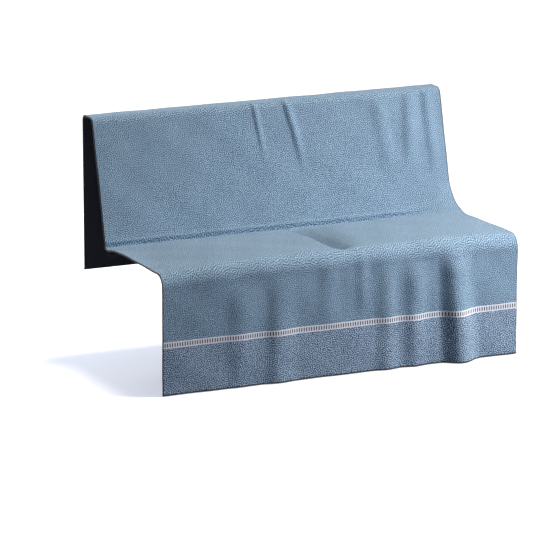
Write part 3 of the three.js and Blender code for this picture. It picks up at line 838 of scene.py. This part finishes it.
# Extruded PVC is smooth, with a slight waxy shine that changes about every 7 mm.
lead_pvc = clouded_material(
    "black_pvc_insulation", 150, 3, "#1c1d21", "#2c2e34", (0.35, 0.55), 0.05 * MM
)
SENSOR_AT = (SEAT_AT + CREASE_AT) / 2
leads = [("sensor_lead", -SENSOR_LENGTH - GAP, SENSOR_AT, 3, SENSOR_LEAD_RADIUS)]
for circuit, places in (("seat", (4, 2)), ("back", (1, 0))):
    first_run, last_run = circuits[circuit]
    leads.append((f"lead_{circuit}_1", SLEEVE_LEFT - GAP, first_run, places[0], LEAD_RADIUS))
    leads.append((f"lead_{circuit}_2", CUTOUT_LEFT - GAP, last_run, places[1], LEAD_RADIUS))
for node, start_u, start_s, place, radius in leads:
    lead = laid_wire(f"laid_{node}", lead_path(start_u, start_s, place), radius)
    lead.data.materials.append(lead_pvc)
    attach(lead, "root")
    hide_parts(node)

# The sensor is a bead of epoxy over a thermistor, rounded at its free end.
bead_swell = np.array([0.75, 0.9, 1, 1, 1, 1, 0.93, 0.75, 0.35])
bead_marks = np.linspace(-SENSOR_LENGTH, 0, len(bead_swell))
bead = laid_wire(
    "laid_temperature_sensor",
    [(u, SENSOR_AT, WIRE_DEPTH) for u in bead_marks],
    SLEEVE_RADIUS * bead_swell,
)
bead.data.materials.append(moulded_material("black_epoxy_bead", "#1b1c1f", "#292a2f"))
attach(bead, "root")
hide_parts("temperature_sensor")

# ---- face cloth ----
# The upper cloth: plain-woven polyester, printed all over with a random maze of pale blue lines on a
# deeper blue. It runs from the front trim, over seat and back, to the rear trim, and is held in the
# edge binding at both sides.
FACE_FROM = FELT_TOP + GAP + WIRE_SPACE + GAP
FACE_TOP = FACE_FROM + 0.8 * MM


# The print is a random maze: where its value passes a level there is a pale line, with a soft edge. One
# cell of the pattern is as wide as this many lines with the spaces between them.
MAZE_TURNS = 2
LINE_LEVEL = 0.62
LINE_SOFTNESS = 0.06
LINE_UNEVENNESS = 0.22
# The ink on the lines goes from its thin tone to its full one between these two values of a noise with
# this many flecks to a line.
INK_FROM, INK_TO = 0.4, 0.62
INK_FLECKS = 1.2
# How far the spaces between the threads darken the print.
WEAVE_SHADE = 0.22


def printed_material(name, ground, line, period):
    """Printed woven polyester: matt, with a slight bloom, printed lines and visible threads."""
    material, flat = new_material(name)
    maze = add_node(
        material,
        "ShaderNodeTexGabor",
        {"gabor_type": "2D"},
        {
            "Vector": flat,
            "Scale": 1 / (MAZE_TURNS * period),
            "Frequency": MAZE_TURNS,
            "Anisotropy": 0.0,
        },
    ).outputs["Value"]
    # The lines swell and thin out from one period to the next.
    swelling = add_node(
        material,
        "ShaderNodeTexNoise",
        inputs={"Vector": flat, "Scale": 1 / period, "Detail": 3, "Roughness": 0.7},
    ).outputs["Fac"]
    uneven = add_node(
        material,
        "ShaderNodeMath",
        {"operation": "MULTIPLY_ADD"},
        {0: swelling, 1: LINE_UNEVENNESS, 2: maze},
    ).outputs["Value"]
    lines = add_node(
        material,
        "ShaderNodeMapRange",
        {"interpolation_type": "SMOOTHSTEP"},
        {
            "Value": uneven,
            "From Min": LINE_LEVEL - LINE_SOFTNESS,
            "From Max": LINE_LEVEL + LINE_SOFTNESS,
        },
    ).outputs["Result"]
    # Ink lies unevenly: the ground's tone drifts over a hand's width, the lines' from fleck to fleck.
    drift = add_node(
        material, "ShaderNodeTexNoise", inputs={"Vector": flat, "Scale": 6, "Detail": 3}
    ).outputs["Fac"]
    deep = add_node(
        material,
        "ShaderNodeMix",
        OF_COLOURS,
        {0: drift, MIX_A: colour(ground[0]), MIX_B: colour(ground[1])},
    ).outputs[MIX_RESULT]
    flecks = add_node(
        material,
        "ShaderNodeTexNoise",
        inputs={"Vector": flat, "Scale": INK_FLECKS / period, "Detail": 1},
    ).outputs["Fac"]
    inked = add_node(
        material,
        "ShaderNodeMapRange",
        inputs={"Value": flecks, "From Min": INK_FROM, "From Max": INK_TO},
    ).outputs["Result"]
    pale = add_node(
        material,
        "ShaderNodeMix",
        OF_COLOURS,
        {0: inked, MIX_A: colour(line[0]), MIX_B: colour(line[1])},
    ).outputs[MIX_RESULT]
    print_colour = add_node(
        material,
        "ShaderNodeMix",
        OF_COLOURS,
        {0: lines, MIX_A: deep, MIX_B: pale},
    ).outputs[MIX_RESULT]
    # Real threads are 0.45 mm apart. They are drawn at 1.3 mm so that they show.
    weave = threads(material, flat, 1.3 * MM)
    shaded = add_node(
        material,
        "ShaderNodeMix",
        {"data_type": "RGBA", "blend_type": "MULTIPLY"},
        {0: WEAVE_SHADE, MIX_A: print_colour, MIX_B: weave},
    ).outputs[MIX_RESULT]
    normal = add_node(
        material, "ShaderNodeBump", inputs={"Height": weave, "Distance": 0.22 * MM}
    ).outputs["Normal"]
    return finished(
        material,
        {
            "Base Color": shaded,
            "Normal": normal,
            "Roughness": 0.9,
            "Sheen Weight": 0.14,
            "Sheen Roughness": 0.45,
            "Sheen Tint": colour("#b9cde8"),
        },
    )


face_print = printed_material(
    "printed_polyester_face",
    ("#38587b", "#406187"),
    ("#8dafca", "#b2cee3"),
    6.5 * MM,
)
face = closed_sheet(
    "draped_face_cloth", COLUMNS, stretch(FACE_FIRST, LENGTH - FACE_FIRST), FACE_FROM, FACE_TOP
)
face.data.materials.append(face_print)
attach(face, "root")
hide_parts("face_cloth")

# ---- borders ----
# Two panels of the same woven polyester in a bolder, darker print. One hangs below the trim at the front
# and one behind, each sewn to its trim and held in the edge binding round its other three sides.
border_print = printed_material(
    "printed_polyester_border",
    ("#1a3a60", "#23466d"),
    ("#91b5d9", "#d0e5f8"),
    6.7 * MM,
)
for end, low, high in (
    ("front", LAYER_FIRST, TRIM_LOW - GAP),
    ("rear", LENGTH - TRIM_LOW + GAP, LAYER_LAST),
):
    border = closed_sheet(
        f"draped_{end}_border", COLUMNS, stretch(low, high), FACE_FROM, FACE_TOP
    )
    border.data.materials.append(border_print)
    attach(border, "root")
    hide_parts(f"{end}_border")

# ---- ladder trims ----
# A pale cotton insertion tape joins cloth and border: plain edges with rungs between, and a dark sheet
# under it that shows through the slots as painted shade. The tape is sewn down along both edges.
RUNG_PITCH = 9.6 * MM
SLOT_WIDTH = 4.6 * MM
SLOT_MARGIN = 4.1 * MM
SLOT_SHADE_OVERLAP = 2.5 * MM
# The tape lies in the joint between cloth and border, a little proud of them, and the painted shade sheet
# below.
TAPE_SUNK = 0.5 * MM
TAPE_PROUD = 0.3 * MM
SLOT_SHADE_DEEPEST = 0.35 * MM
SLOT_SHADE_HIGHEST = 0.05 * MM
SEAM_INSET = 1.4 * MM
SEAM_END = 4 * MM


def woven_tape_material(name, dark, light, thread_dark):
    """Narrow woven cotton tape: matt, close ribs across it, a little soiled in places."""
    material, flat = new_material(name)
    # Real ribs are 0.6 mm apart. They are drawn at 1.2 mm so that they show.
    rib = threads(material, flat, 1.2 * MM)
    soil = add_node(
        material, "ShaderNodeTexNoise", inputs={"Vector": flat, "Scale": 22, "Detail": 4}
    ).outputs["Fac"]
    base = add_node(
        material,
        "ShaderNodeMix",
        OF_COLOURS,
        {0: soil, MIX_A: colour(dark), MIX_B: colour(light)},
    ).outputs[MIX_RESULT]
    ribbed = add_node(
        material,
        "ShaderNodeMix",
        OF_COLOURS,
        {0: rib, MIX_A: colour(thread_dark), MIX_B: base},
    ).outputs[MIX_RESULT]
    normal = add_node(
        material, "ShaderNodeBump", inputs={"Height": rib, "Distance": 0.2 * MM}
    ).outputs["Normal"]
    return finished(
        material,
        {"Base Color": ribbed, "Normal": normal, "Roughness": 0.85, "Sheen Weight": 0.2},
    )


tape_material = woven_tape_material("pale_cotton_tape", "#e6ebf8", "#f2f5fb", "#d0d6e8")
# The sheet under the trims is painted shade: a dark sheet for the shade seen through the tape's slots.
slot_shade_material = woven_tape_material("painted_slot_shade", "#34323f", "#403e4e", "#2a2833")


def thread_material():
    """Spun polyester sewing thread: a soft shine along the twist."""
    material, flat = new_material("spun_sewing_thread")
    twist = add_node(
        material,
        "ShaderNodeTexWave",
        {"bands_direction": "DIAGONAL"},
        {"Vector": flat, "Scale": WAVE_TEXTURE_TURN / (0.7 * MM), "Distortion": 0.4},
    ).outputs["Fac"]
    base = add_node(
        material,
        "ShaderNodeMix",
        OF_COLOURS,
        {0: twist, MIX_A: colour("#a9adbd"), MIX_B: colour("#dfe1ea")},
    ).outputs[MIX_RESULT]
    normal = add_node(
        material, "ShaderNodeBump", inputs={"Height": twist, "Distance": 0.1 * MM}
    ).outputs["Normal"]
    return finished(material, {"Base Color": base, "Normal": normal, "Roughness": 0.6})


pale_thread = thread_material()
STITCH_PITCH = 3.2 * MM
STITCH_LENGTH = 2.5 * MM
STITCH_HALF_WIDTH = 0.35 * MM
STITCH_SINK = 0.15 * MM
STITCH_RISE = 0.35 * MM


def stitches(name, seams):
    """Rows of short stitches. A seam is a flat start and end, the cloth's depth and 1 or -1, outwards."""
    flats, depths, faces = [], [], []
    # Each stitch is a small closed bead with seven corners: a ridge above and a point below.
    shape = np.array(
        [
            (0, 4, 2), (4, 5, 2), (5, 1, 2),
            (0, 3, 4), (4, 3, 5), (5, 3, 1),
            (0, 2, 6), (2, 1, 6), (1, 3, 6), (3, 0, 6),
        ]
    )  # fmt: skip
    made = 0
    for start, end, depth, outwards in seams:
        start, end = np.array(start, float), np.array(end, float)
        long = np.linalg.norm(end - start)
        along = (end - start) / long
        aside = np.array([-along[1], along[0]])
        count = int(long / STITCH_PITCH)
        middles = start + (np.arange(count)[:, None] + 0.5) * (long / count) * along
        corners = [
            (-STITCH_LENGTH / 2 * along, -STITCH_SINK),
            (STITCH_LENGTH / 2 * along, -STITCH_SINK),
            (STITCH_HALF_WIDTH * aside, 0),
            (-STITCH_HALF_WIDTH * aside, 0),
            (-STITCH_LENGTH / 4 * along, STITCH_RISE),
            (STITCH_LENGTH / 4 * along, STITCH_RISE),
            (0 * along, -2 * STITCH_SINK),
        ]
        flats.append(middles[:, None] + np.array([offset for offset, _ in corners]))
        raised = depth + outwards * np.array([height for _, height in corners])
        depths.append(np.broadcast_to(raised, (count, len(corners))))
        first = len(corners) * (made + np.arange(count)[:, None, None])
        faces.append((first + shape[:, ::outwards]).reshape(-1, 3))
        made += count
    flat = np.concatenate(flats).reshape(-1, 2)
    depth = np.concatenate(depths).reshape(-1, 1)
    flat = np.concatenate([flat, depth], axis=1)
    return mesh_piece(name, drape(flat[:, 0], flat[:, 1], flat[:, 2]), faces, flat)


rungs = int(2 * LAYER_SIDE / RUNG_PITCH)
slot_starts = (np.arange(rungs) - rungs / 2) * RUNG_PITCH + (RUNG_PITCH - SLOT_WIDTH) / 2
ladder_columns = np.sort(
    np.concatenate([slot_starts, slot_starts + SLOT_WIDTH, [-LAYER_SIDE, LAYER_SIDE]])
)


def ladder_trim(end, low, high):
    """One trim between two lines across the blanket: the tape with its slots, and the painted shade sheet
    under it.
    """
    slot_low, slot_high = low + SLOT_MARGIN, high - SLOT_MARGIN

    def tape_here(u, s):
        """True for the tape around its slots."""
        in_slot = ((u - slot_starts[0]) % RUNG_PITCH) < SLOT_WIDTH
        within = (u > slot_starts[0]) & (u < slot_starts[-1] + SLOT_WIDTH)
        return ~(in_slot & within & (s > slot_low) & (s < slot_high))

    tape = closed_sheet(
        f"sewn_{end}_ladder_trim",
        ladder_columns,
        np.array([low, slot_low, slot_high, high]),
        FACE_TOP - TAPE_SUNK,
        FACE_TOP + TAPE_PROUD,
        tape_here,
    )
    tape.data.materials.append(tape_material)
    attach(tape, "root")
    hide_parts(f"{end}_ladder_trim")
    # Painted shade: a dark sheet under the slots stands for the shade seen through them.
    slot_shade = closed_sheet(
        f"{end}_trim_slot_shade",
        COLUMNS,
        np.array([low - SLOT_SHADE_OVERLAP, low, high, high + SLOT_SHADE_OVERLAP]),
        FACE_FROM - SLOT_SHADE_DEEPEST,
        FACE_FROM - SLOT_SHADE_HIGHEST,
    )
    slot_shade.data.materials.append(slot_shade_material)
    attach(slot_shade, "root")
    seam_reach = LAYER_SIDE - SEAM_END
    seam = stitches(
        f"{end}_trim_stitching",
        [
            ((-seam_reach, s), (seam_reach, s), FACE_TOP + TAPE_PROUD, 1)
            for s in (low + SEAM_INSET, high - SEAM_INSET)
        ],
    )
    seam.data.materials.append(pale_thread)
    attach(seam, "root")


ladder_trim("front", TRIM_LOW, TRIM_HIGH)
ladder_trim("rear", LENGTH - TRIM_HIGH, LENGTH - TRIM_LOW)

# ---- edge binding ----
# A dark woven tape, folded round all four edges over the closed layers and sewn through. The tapes
# along the hems wrap over the ends of the two side tapes.
TAPE_THICKNESS = 0.4 * MM
TAPE_CORNER = 1.6 * MM
FOLD_POINTS = 4
SIDE_WRAP = 2.8 * MM
HEM_WRAP = 6 * MM
SIDE_SPARE = 0.1 * MM
HEM_SPARE = SIDE_SPARE + TAPE_THICKNESS + 0.15 * MM
SIDE_TAPE_END = 1 * MM
BINDING_SEAM_INSET = 1.2 * MM
BINDING_SEAM_END = 2 * MM


def folded(low, high, inset, corner):
    """The fold round the edge, from low to high, at an inset from the tape's outside."""
    down = np.linspace(-np.pi / 2, 0, FOLD_POINTS)
    lower = [(corner * (1 - np.cos(a)), low + corner * (1 + np.sin(a))) for a in down]
    upper = [(x, high - (z - low)) for x, z in reversed(lower)]
    return [(x + inset, z) for x, z in lower + upper]


def binding_section(wrap, spare):
    """The tape's cross-section: how far in from the edge, and how deep. spare is its air at each side."""
    inner_low, inner_high = -spare, FACE_TOP + spare
    low, high = inner_low - TAPE_THICKNESS, inner_high + TAPE_THICKNESS
    outer = [(wrap, low), *folded(low, high, 0, TAPE_CORNER), (wrap, high)]
    inside = folded(inner_low, inner_high, TAPE_THICKNESS, TAPE_CORNER - TAPE_THICKNESS)
    inner = [(wrap, inner_low), *inside, (wrap, inner_high)]
    return np.array(outer + inner[::-1])


def bound_edge(name, node, marks, along_side, edge, inwards, wrap, spare):
    """A tape along one edge. marks run along it, edge is the edge's own u or s, inwards is +1 or -1."""
    section = binding_section(wrap, spare)
    inset, run = np.meshgrid(section[:, 0], marks)
    depth, _ = np.meshgrid(section[:, 1], marks)
    crossing = edge + inwards * inset
    u, s = (crossing, run) if along_side else (run, crossing)
    flat = np.stack([u, s, depth], axis=-1).reshape(-1, 3)
    sides, ends = tube_faces(len(marks), len(section))
    if along_side == (inwards > 0):
        sides, ends = sides[:, ::-1], ends[:, ::-1]
    piece = mesh_piece(name, drape(flat[:, 0], flat[:, 1], flat[:, 2]), [sides, ends], flat)
    piece.data.materials.append(binding_material)
    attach(piece, "root")
    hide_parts(node)
    return piece


binding_material = woven_tape_material("dark_woven_binding", "#262935", "#31343f", "#1b1d26")
hem_marks = np.concatenate([[-WIDTH / 2], COLUMNS[1:-1], [WIDTH / 2]])
side_marks = np.concatenate([[SIDE_TAPE_END], ROWS[1:-1], [LENGTH - SIDE_TAPE_END]])
side_tape = (SIDE_WRAP, SIDE_SPARE)
hem_tape = (HEM_WRAP, HEM_SPARE)
binding = {
    edge: bound_edge(
        f"bound_{edge}_{kind}", f"edge_tape_{edge}", marks, kind == "edge", place, inwards, *tape
    )
    for edge, kind, marks, place, inwards, tape in (
        ("left", "edge", side_marks, -WIDTH / 2, 1, side_tape),
        ("right", "edge", side_marks, WIDTH / 2, -1, side_tape),
        ("front", "hem", hem_marks, 0, 1, hem_tape),
        ("rear", "hem", hem_marks, LENGTH, -1, hem_tape),
    )
}
dark_thread = woven_tape_material("dark_sewing_thread", "#3a3e4c", "#4b5060", "#2b2e3a")
for edge, piece in binding.items():
    side_edge = edge in ("left", "right")
    wrap, spare = side_tape if side_edge else hem_tape
    inset = wrap - BINDING_SEAM_INSET
    top, under = FACE_TOP + spare + TAPE_THICKNESS, -spare - TAPE_THICKNESS
    if side_edge:
        u = (WIDTH / 2 - inset) * (-1 if edge == "left" else 1)
        line = ((u, HEM_WRAP), (u, LENGTH - HEM_WRAP))
    else:
        s = inset if edge == "front" else LENGTH - inset
        line = ((-WIDTH / 2 + BINDING_SEAM_END, s), (WIDTH / 2 - BINDING_SEAM_END, s))
    seam = stitches(f"{edge}_edge_stitching", [(*line, top, 1), (*line, under, -1)])
    seam.data.materials.append(dark_thread)
    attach(seam, "root")

# ---- inlet ----
# Behind the rear drop a moulded housing with its cover, on a sewn patch, takes the supply plug: a
# terminal block with three pins, and four screws. The record's shapes are kept, with eased edges.
inlet_plastic = moulded_material("spark_finished_abs", "#24262b", "#34373e")
block_plastic = moulded_material("grey_terminal_nylon", "#5a5d62", "#6d7076")


# Zinc plate is bluish and bright, with a fine haze in specks of about 0.7 mm.
steel = clouded_material(
    "zinc_plated_steel",
    1500,
    3,
    "#a4a9b0",
    "#c8ccd2",
    (0.22, 0.4),
    0.03 * MM,
    metallic=1.0,
    draped=False,
)


# Triangles that meet flatter than the first angle are one face. Edges sharper than the second are eased.
SAME_FACE_ANGLE = np.radians(2)
EASED_ANGLE = np.radians(40)
EASED_SEGMENTS = 3
SAME_POINT = 0.01 * MM


def eased_copy(node, name, width, material):
    """A copy of a hard piece with its edges rounded, and its loose triangles joined first."""
    piece = bpy.data.objects.new(name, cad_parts[node].data.copy())
    piece.data.materials.clear()
    piece.data.materials.append(material)
    bpy.context.scene.collection.objects.link(piece)
    bpy.ops.object.select_all(action="DESELECT")
    piece.select_set(True)
    bpy.context.view_layer.objects.active = piece
    bpy.ops.object.mode_set(mode="EDIT")
    bpy.ops.mesh.select_all(action="SELECT")
    bpy.ops.mesh.remove_doubles(threshold=SAME_POINT)
    bpy.ops.mesh.dissolve_limited(angle_limit=SAME_FACE_ANGLE)
    bpy.ops.object.mode_set(mode="OBJECT")
    bevel = piece.modifiers.new("eased edges", "BEVEL")
    bevel.width = width
    bevel.segments = EASED_SEGMENTS
    bevel.limit_method = "ANGLE"
    bevel.angle_limit = EASED_ANGLE
    bevel.use_clamp_overlap = True
    bpy.ops.object.modifier_apply(modifier=bevel.name)
    bpy.ops.object.shade_smooth_by_angle(angle=EASED_ANGLE)
    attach(piece, "root")
    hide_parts(node)
    return piece


inlet_pieces = [
    ("inlet_body", "moulded_inlet_body", 0.6 * MM, inlet_plastic, "inlet_plastic"),
    ("inlet_cover", "moulded_inlet_cover", 0.3 * MM, inlet_plastic, "inlet_plastic"),
    ("terminal_block", "moulded_terminal_block", 0.3 * MM, block_plastic, "inlet_plastic"),
]
for number in (1, 2, 3):
    pin = f"contact_pin_{number}"
    inlet_pieces.append((pin, f"turned_{pin}", 0.25 * MM, tinned, "tinned_metal"))
for number in (1, 2, 3, 4):
    screw = f"inlet_screw_{number}"
    inlet_pieces.append((screw, f"headed_{screw}", 0.3 * MM, steel, "screw_steel"))
for node, name, width, material, slot in inlet_pieces:
    piece = eased_copy(node, name, width, material)

# ---- inlet patch ----
# A panel of dark canvas, 0.8 mm thick, holds the inlet to the blanket. It lies under the lining behind
# the rear drop, with a window for the leads, and two rows of stitches round its edge fix it.
PATCH_LEFT, PATCH_RIGHT = -610 * MM, -500 * MM
PATCH_LOW, PATCH_HIGH = 1865 * MM, 1965 * MM
PATCH_FROM, PATCH_TOP = -1.1 * MM, -GAP
PATCH_SEAMS = (3 * MM, 7 * MM)
patch = closed_sheet(
    "sewn_inlet_patch",
    spaced([PATCH_LEFT, (WINDOW_LEFT, 0.01), (WINDOW_RIGHT, 0.011), (PATCH_RIGHT, 0.01)]),
    spaced([PATCH_LOW, (WINDOW_LOW, 0.01), (WINDOW_HIGH, 0.011), (PATCH_HIGH, 0.01)]),
    PATCH_FROM,
    PATCH_TOP,
    around_window,
)
patch.data.materials.append(woven_tape_material("patch_canvas", "#2b2e38", "#3a3d49", "#20222b"))
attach(patch, "root")
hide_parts("inlet_patch")
patch_seams = []
for inset in PATCH_SEAMS:
    left, right = PATCH_LEFT + inset, PATCH_RIGHT - inset
    low, high = PATCH_LOW + inset, PATCH_HIGH - inset
    corners = [(left, low), (right, low), (right, high), (left, high)]
    for start, end in zip(corners, corners[1:] + corners[:1]):
        patch_seams.append((start, end, PATCH_FROM, -1))
patch_stitching = stitches("patch_stitching", patch_seams)
patch_stitching.data.materials.append(pale_thread)
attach(patch_stitching, "root")

# ---- care label ----
# A blank label of woven satin tape, 40 by 60 mm. It is sewn in at the rear hem, so that it hangs behind,
# on the lining's side.
LABEL_MIDDLE = 280 * MM - WIDTH / 2
LABEL_HALF = 20 * MM
LABEL_LOW = LAYER_LAST - 60 * MM
LABEL_FROM, LABEL_TOP = -0.7 * MM, -GAP


def label_material():
    """Woven satin tape: off-white, with fine lengthwise ribs and a soft sheen."""
    material, flat = new_material("satin_label_tape")
    rib = add_node(
        material,
        "ShaderNodeTexWave",
        {"bands_direction": "X"},
        {"Vector": flat, "Scale": WAVE_TEXTURE_TURN / (1.0 * MM), "Distortion": 0.3},
    ).outputs["Fac"]
    base = add_node(
        material,
        "ShaderNodeMix",
        OF_COLOURS,
        {0: rib, MIX_A: colour("#d6d3cb"), MIX_B: colour("#efede7")},
    ).outputs[MIX_RESULT]
    normal = add_node(
        material, "ShaderNodeBump", inputs={"Height": rib, "Distance": 0.1 * MM}
    ).outputs["Normal"]
    return finished(
        material,
        {"Base Color": base, "Normal": normal, "Roughness": 0.5, "Sheen Weight": 0.4},
    )


label = closed_sheet(
    "sewn_care_label",
    np.linspace(LABEL_MIDDLE - LABEL_HALF, LABEL_MIDDLE + LABEL_HALF, 6),
    np.linspace(LABEL_LOW, LAYER_LAST, 8),
    LABEL_FROM,
    LABEL_TOP,
)
label.data.materials.append(label_material())
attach(label, "root")
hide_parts("care_label")

# ---- floor and light ----
# A wide pale floor just under the front hem. A broad, warm light falls from above, a soft one comes from
# the front right and a cool one from behind, in a room that is bright above and dim below.
FLOOR_AT = -FRONT_DROP - 2.5 * MM
FLOOR_SIZE = 60
FLOOR_GLOW = 0.4
bpy.ops.object.select_all(action="DESELECT")
bpy.ops.mesh.primitive_plane_add(size=FLOOR_SIZE, location=(0, 0, FLOOR_AT))
floor = bpy.context.object
floor.name = "floor"
bpy.ops.object.transform_apply(location=True, rotation=False, scale=False)
floor_paint, floor_place = new_material("matt_white_floor", draped=False)
floor_mottle = add_node(
    floor_paint, "ShaderNodeTexNoise", inputs={"Vector": floor_place, "Scale": 2, "Detail": 2}
).outputs["Fac"]
floor_tone = add_node(
    floor_paint,
    "ShaderNodeMix",
    OF_COLOURS,
    {0: floor_mottle, MIX_A: colour("#eef4ff"), MIX_B: colour("#f4f8ff")},
).outputs[MIX_RESULT]
finished(
    floor_paint,
    {
        "Base Color": floor_tone,
        "Roughness": 0.9,
        "Emission Color": colour("#f0f2fa"),
        "Emission Strength": FLOOR_GLOW,
    },
)
floor.data.materials.append(floor_paint)
# The floor throws no light up onto the cloth, so that the front drop stays as deep in tone as it is.
floor.visible_diffuse = False


def soft_light(name, place, at, size, power, tint):
    """A square light that faces a point: its size in metres and its power in watts."""
    data = bpy.data.lights.new(name, "AREA")
    data.shape = "SQUARE"
    data.size = size
    data.energy = power
    data.color = colour(tint)[:3]
    light = bpy.data.objects.new(name, data)
    light.location = place
    light.rotation_mode = "QUATERNION"
    light.rotation_quaternion = (Vector(at) - Vector(place)).to_track_quat("-Z", "Y")
    bpy.context.scene.collection.objects.link(light)


soft_light("side_light", (2.0, -1.55, 1.0), (0.3, -0.1, -0.1), 0.8, 101, "#f8f4f0")
soft_light("rear_light", (-0.9, 2.9, 1.1), (0, 0.4, 0), 1.2, 70, "#eef2ff")
OVERHEAD_FROM = Vector((0.38, -0.02, 0.92))
OVERHEAD_STRENGTH = 2.9
OVERHEAD_BREADTH = np.radians(24)
overhead_data = bpy.data.lights.new("overhead_light", "SUN")
overhead_data.energy = OVERHEAD_STRENGTH
overhead_data.color = colour("#fff2de")[:3]
overhead_data.angle = OVERHEAD_BREADTH
overhead = bpy.data.objects.new("overhead_light", overhead_data)
overhead.rotation_mode = "QUATERNION"
overhead.rotation_quaternion = (-OVERHEAD_FROM).to_track_quat("-Z", "Y")
bpy.context.scene.collection.objects.link(overhead)

# The room changes from dim to bright between these two heights of a direction, from -1 down to 1 up.
ROOM_DIM, ROOM_BRIGHT = -0.2, 0.3
ROOM_STRENGTH = 0.24
room = bpy.data.worlds.new("bright_room")
room.use_nodes = True
upwards = add_node(room, "ShaderNodeTexCoord").outputs["Generated"]
height = add_node(room, "ShaderNodeSeparateXYZ", inputs={"Vector": upwards}).outputs["Z"]
share = add_node(
    room,
    "ShaderNodeMapRange",
    inputs={"Value": height, "From Min": ROOM_DIM, "From Max": ROOM_BRIGHT},
).outputs["Result"]
background = room.node_tree.nodes["Background"]
background.inputs["Strength"].default_value = ROOM_STRENGTH
sky = add_node(
    room,
    "ShaderNodeMix",
    OF_COLOURS,
    {0: share, MIX_A: colour("#4b5b7c"), MIX_B: colour("#eef0f4")},
).outputs[MIX_RESULT]
room.node_tree.links.new(sky, background.inputs["Color"])
bpy.context.scene.world = room
bpy.context.scene.view_settings.view_transform = "Standard"
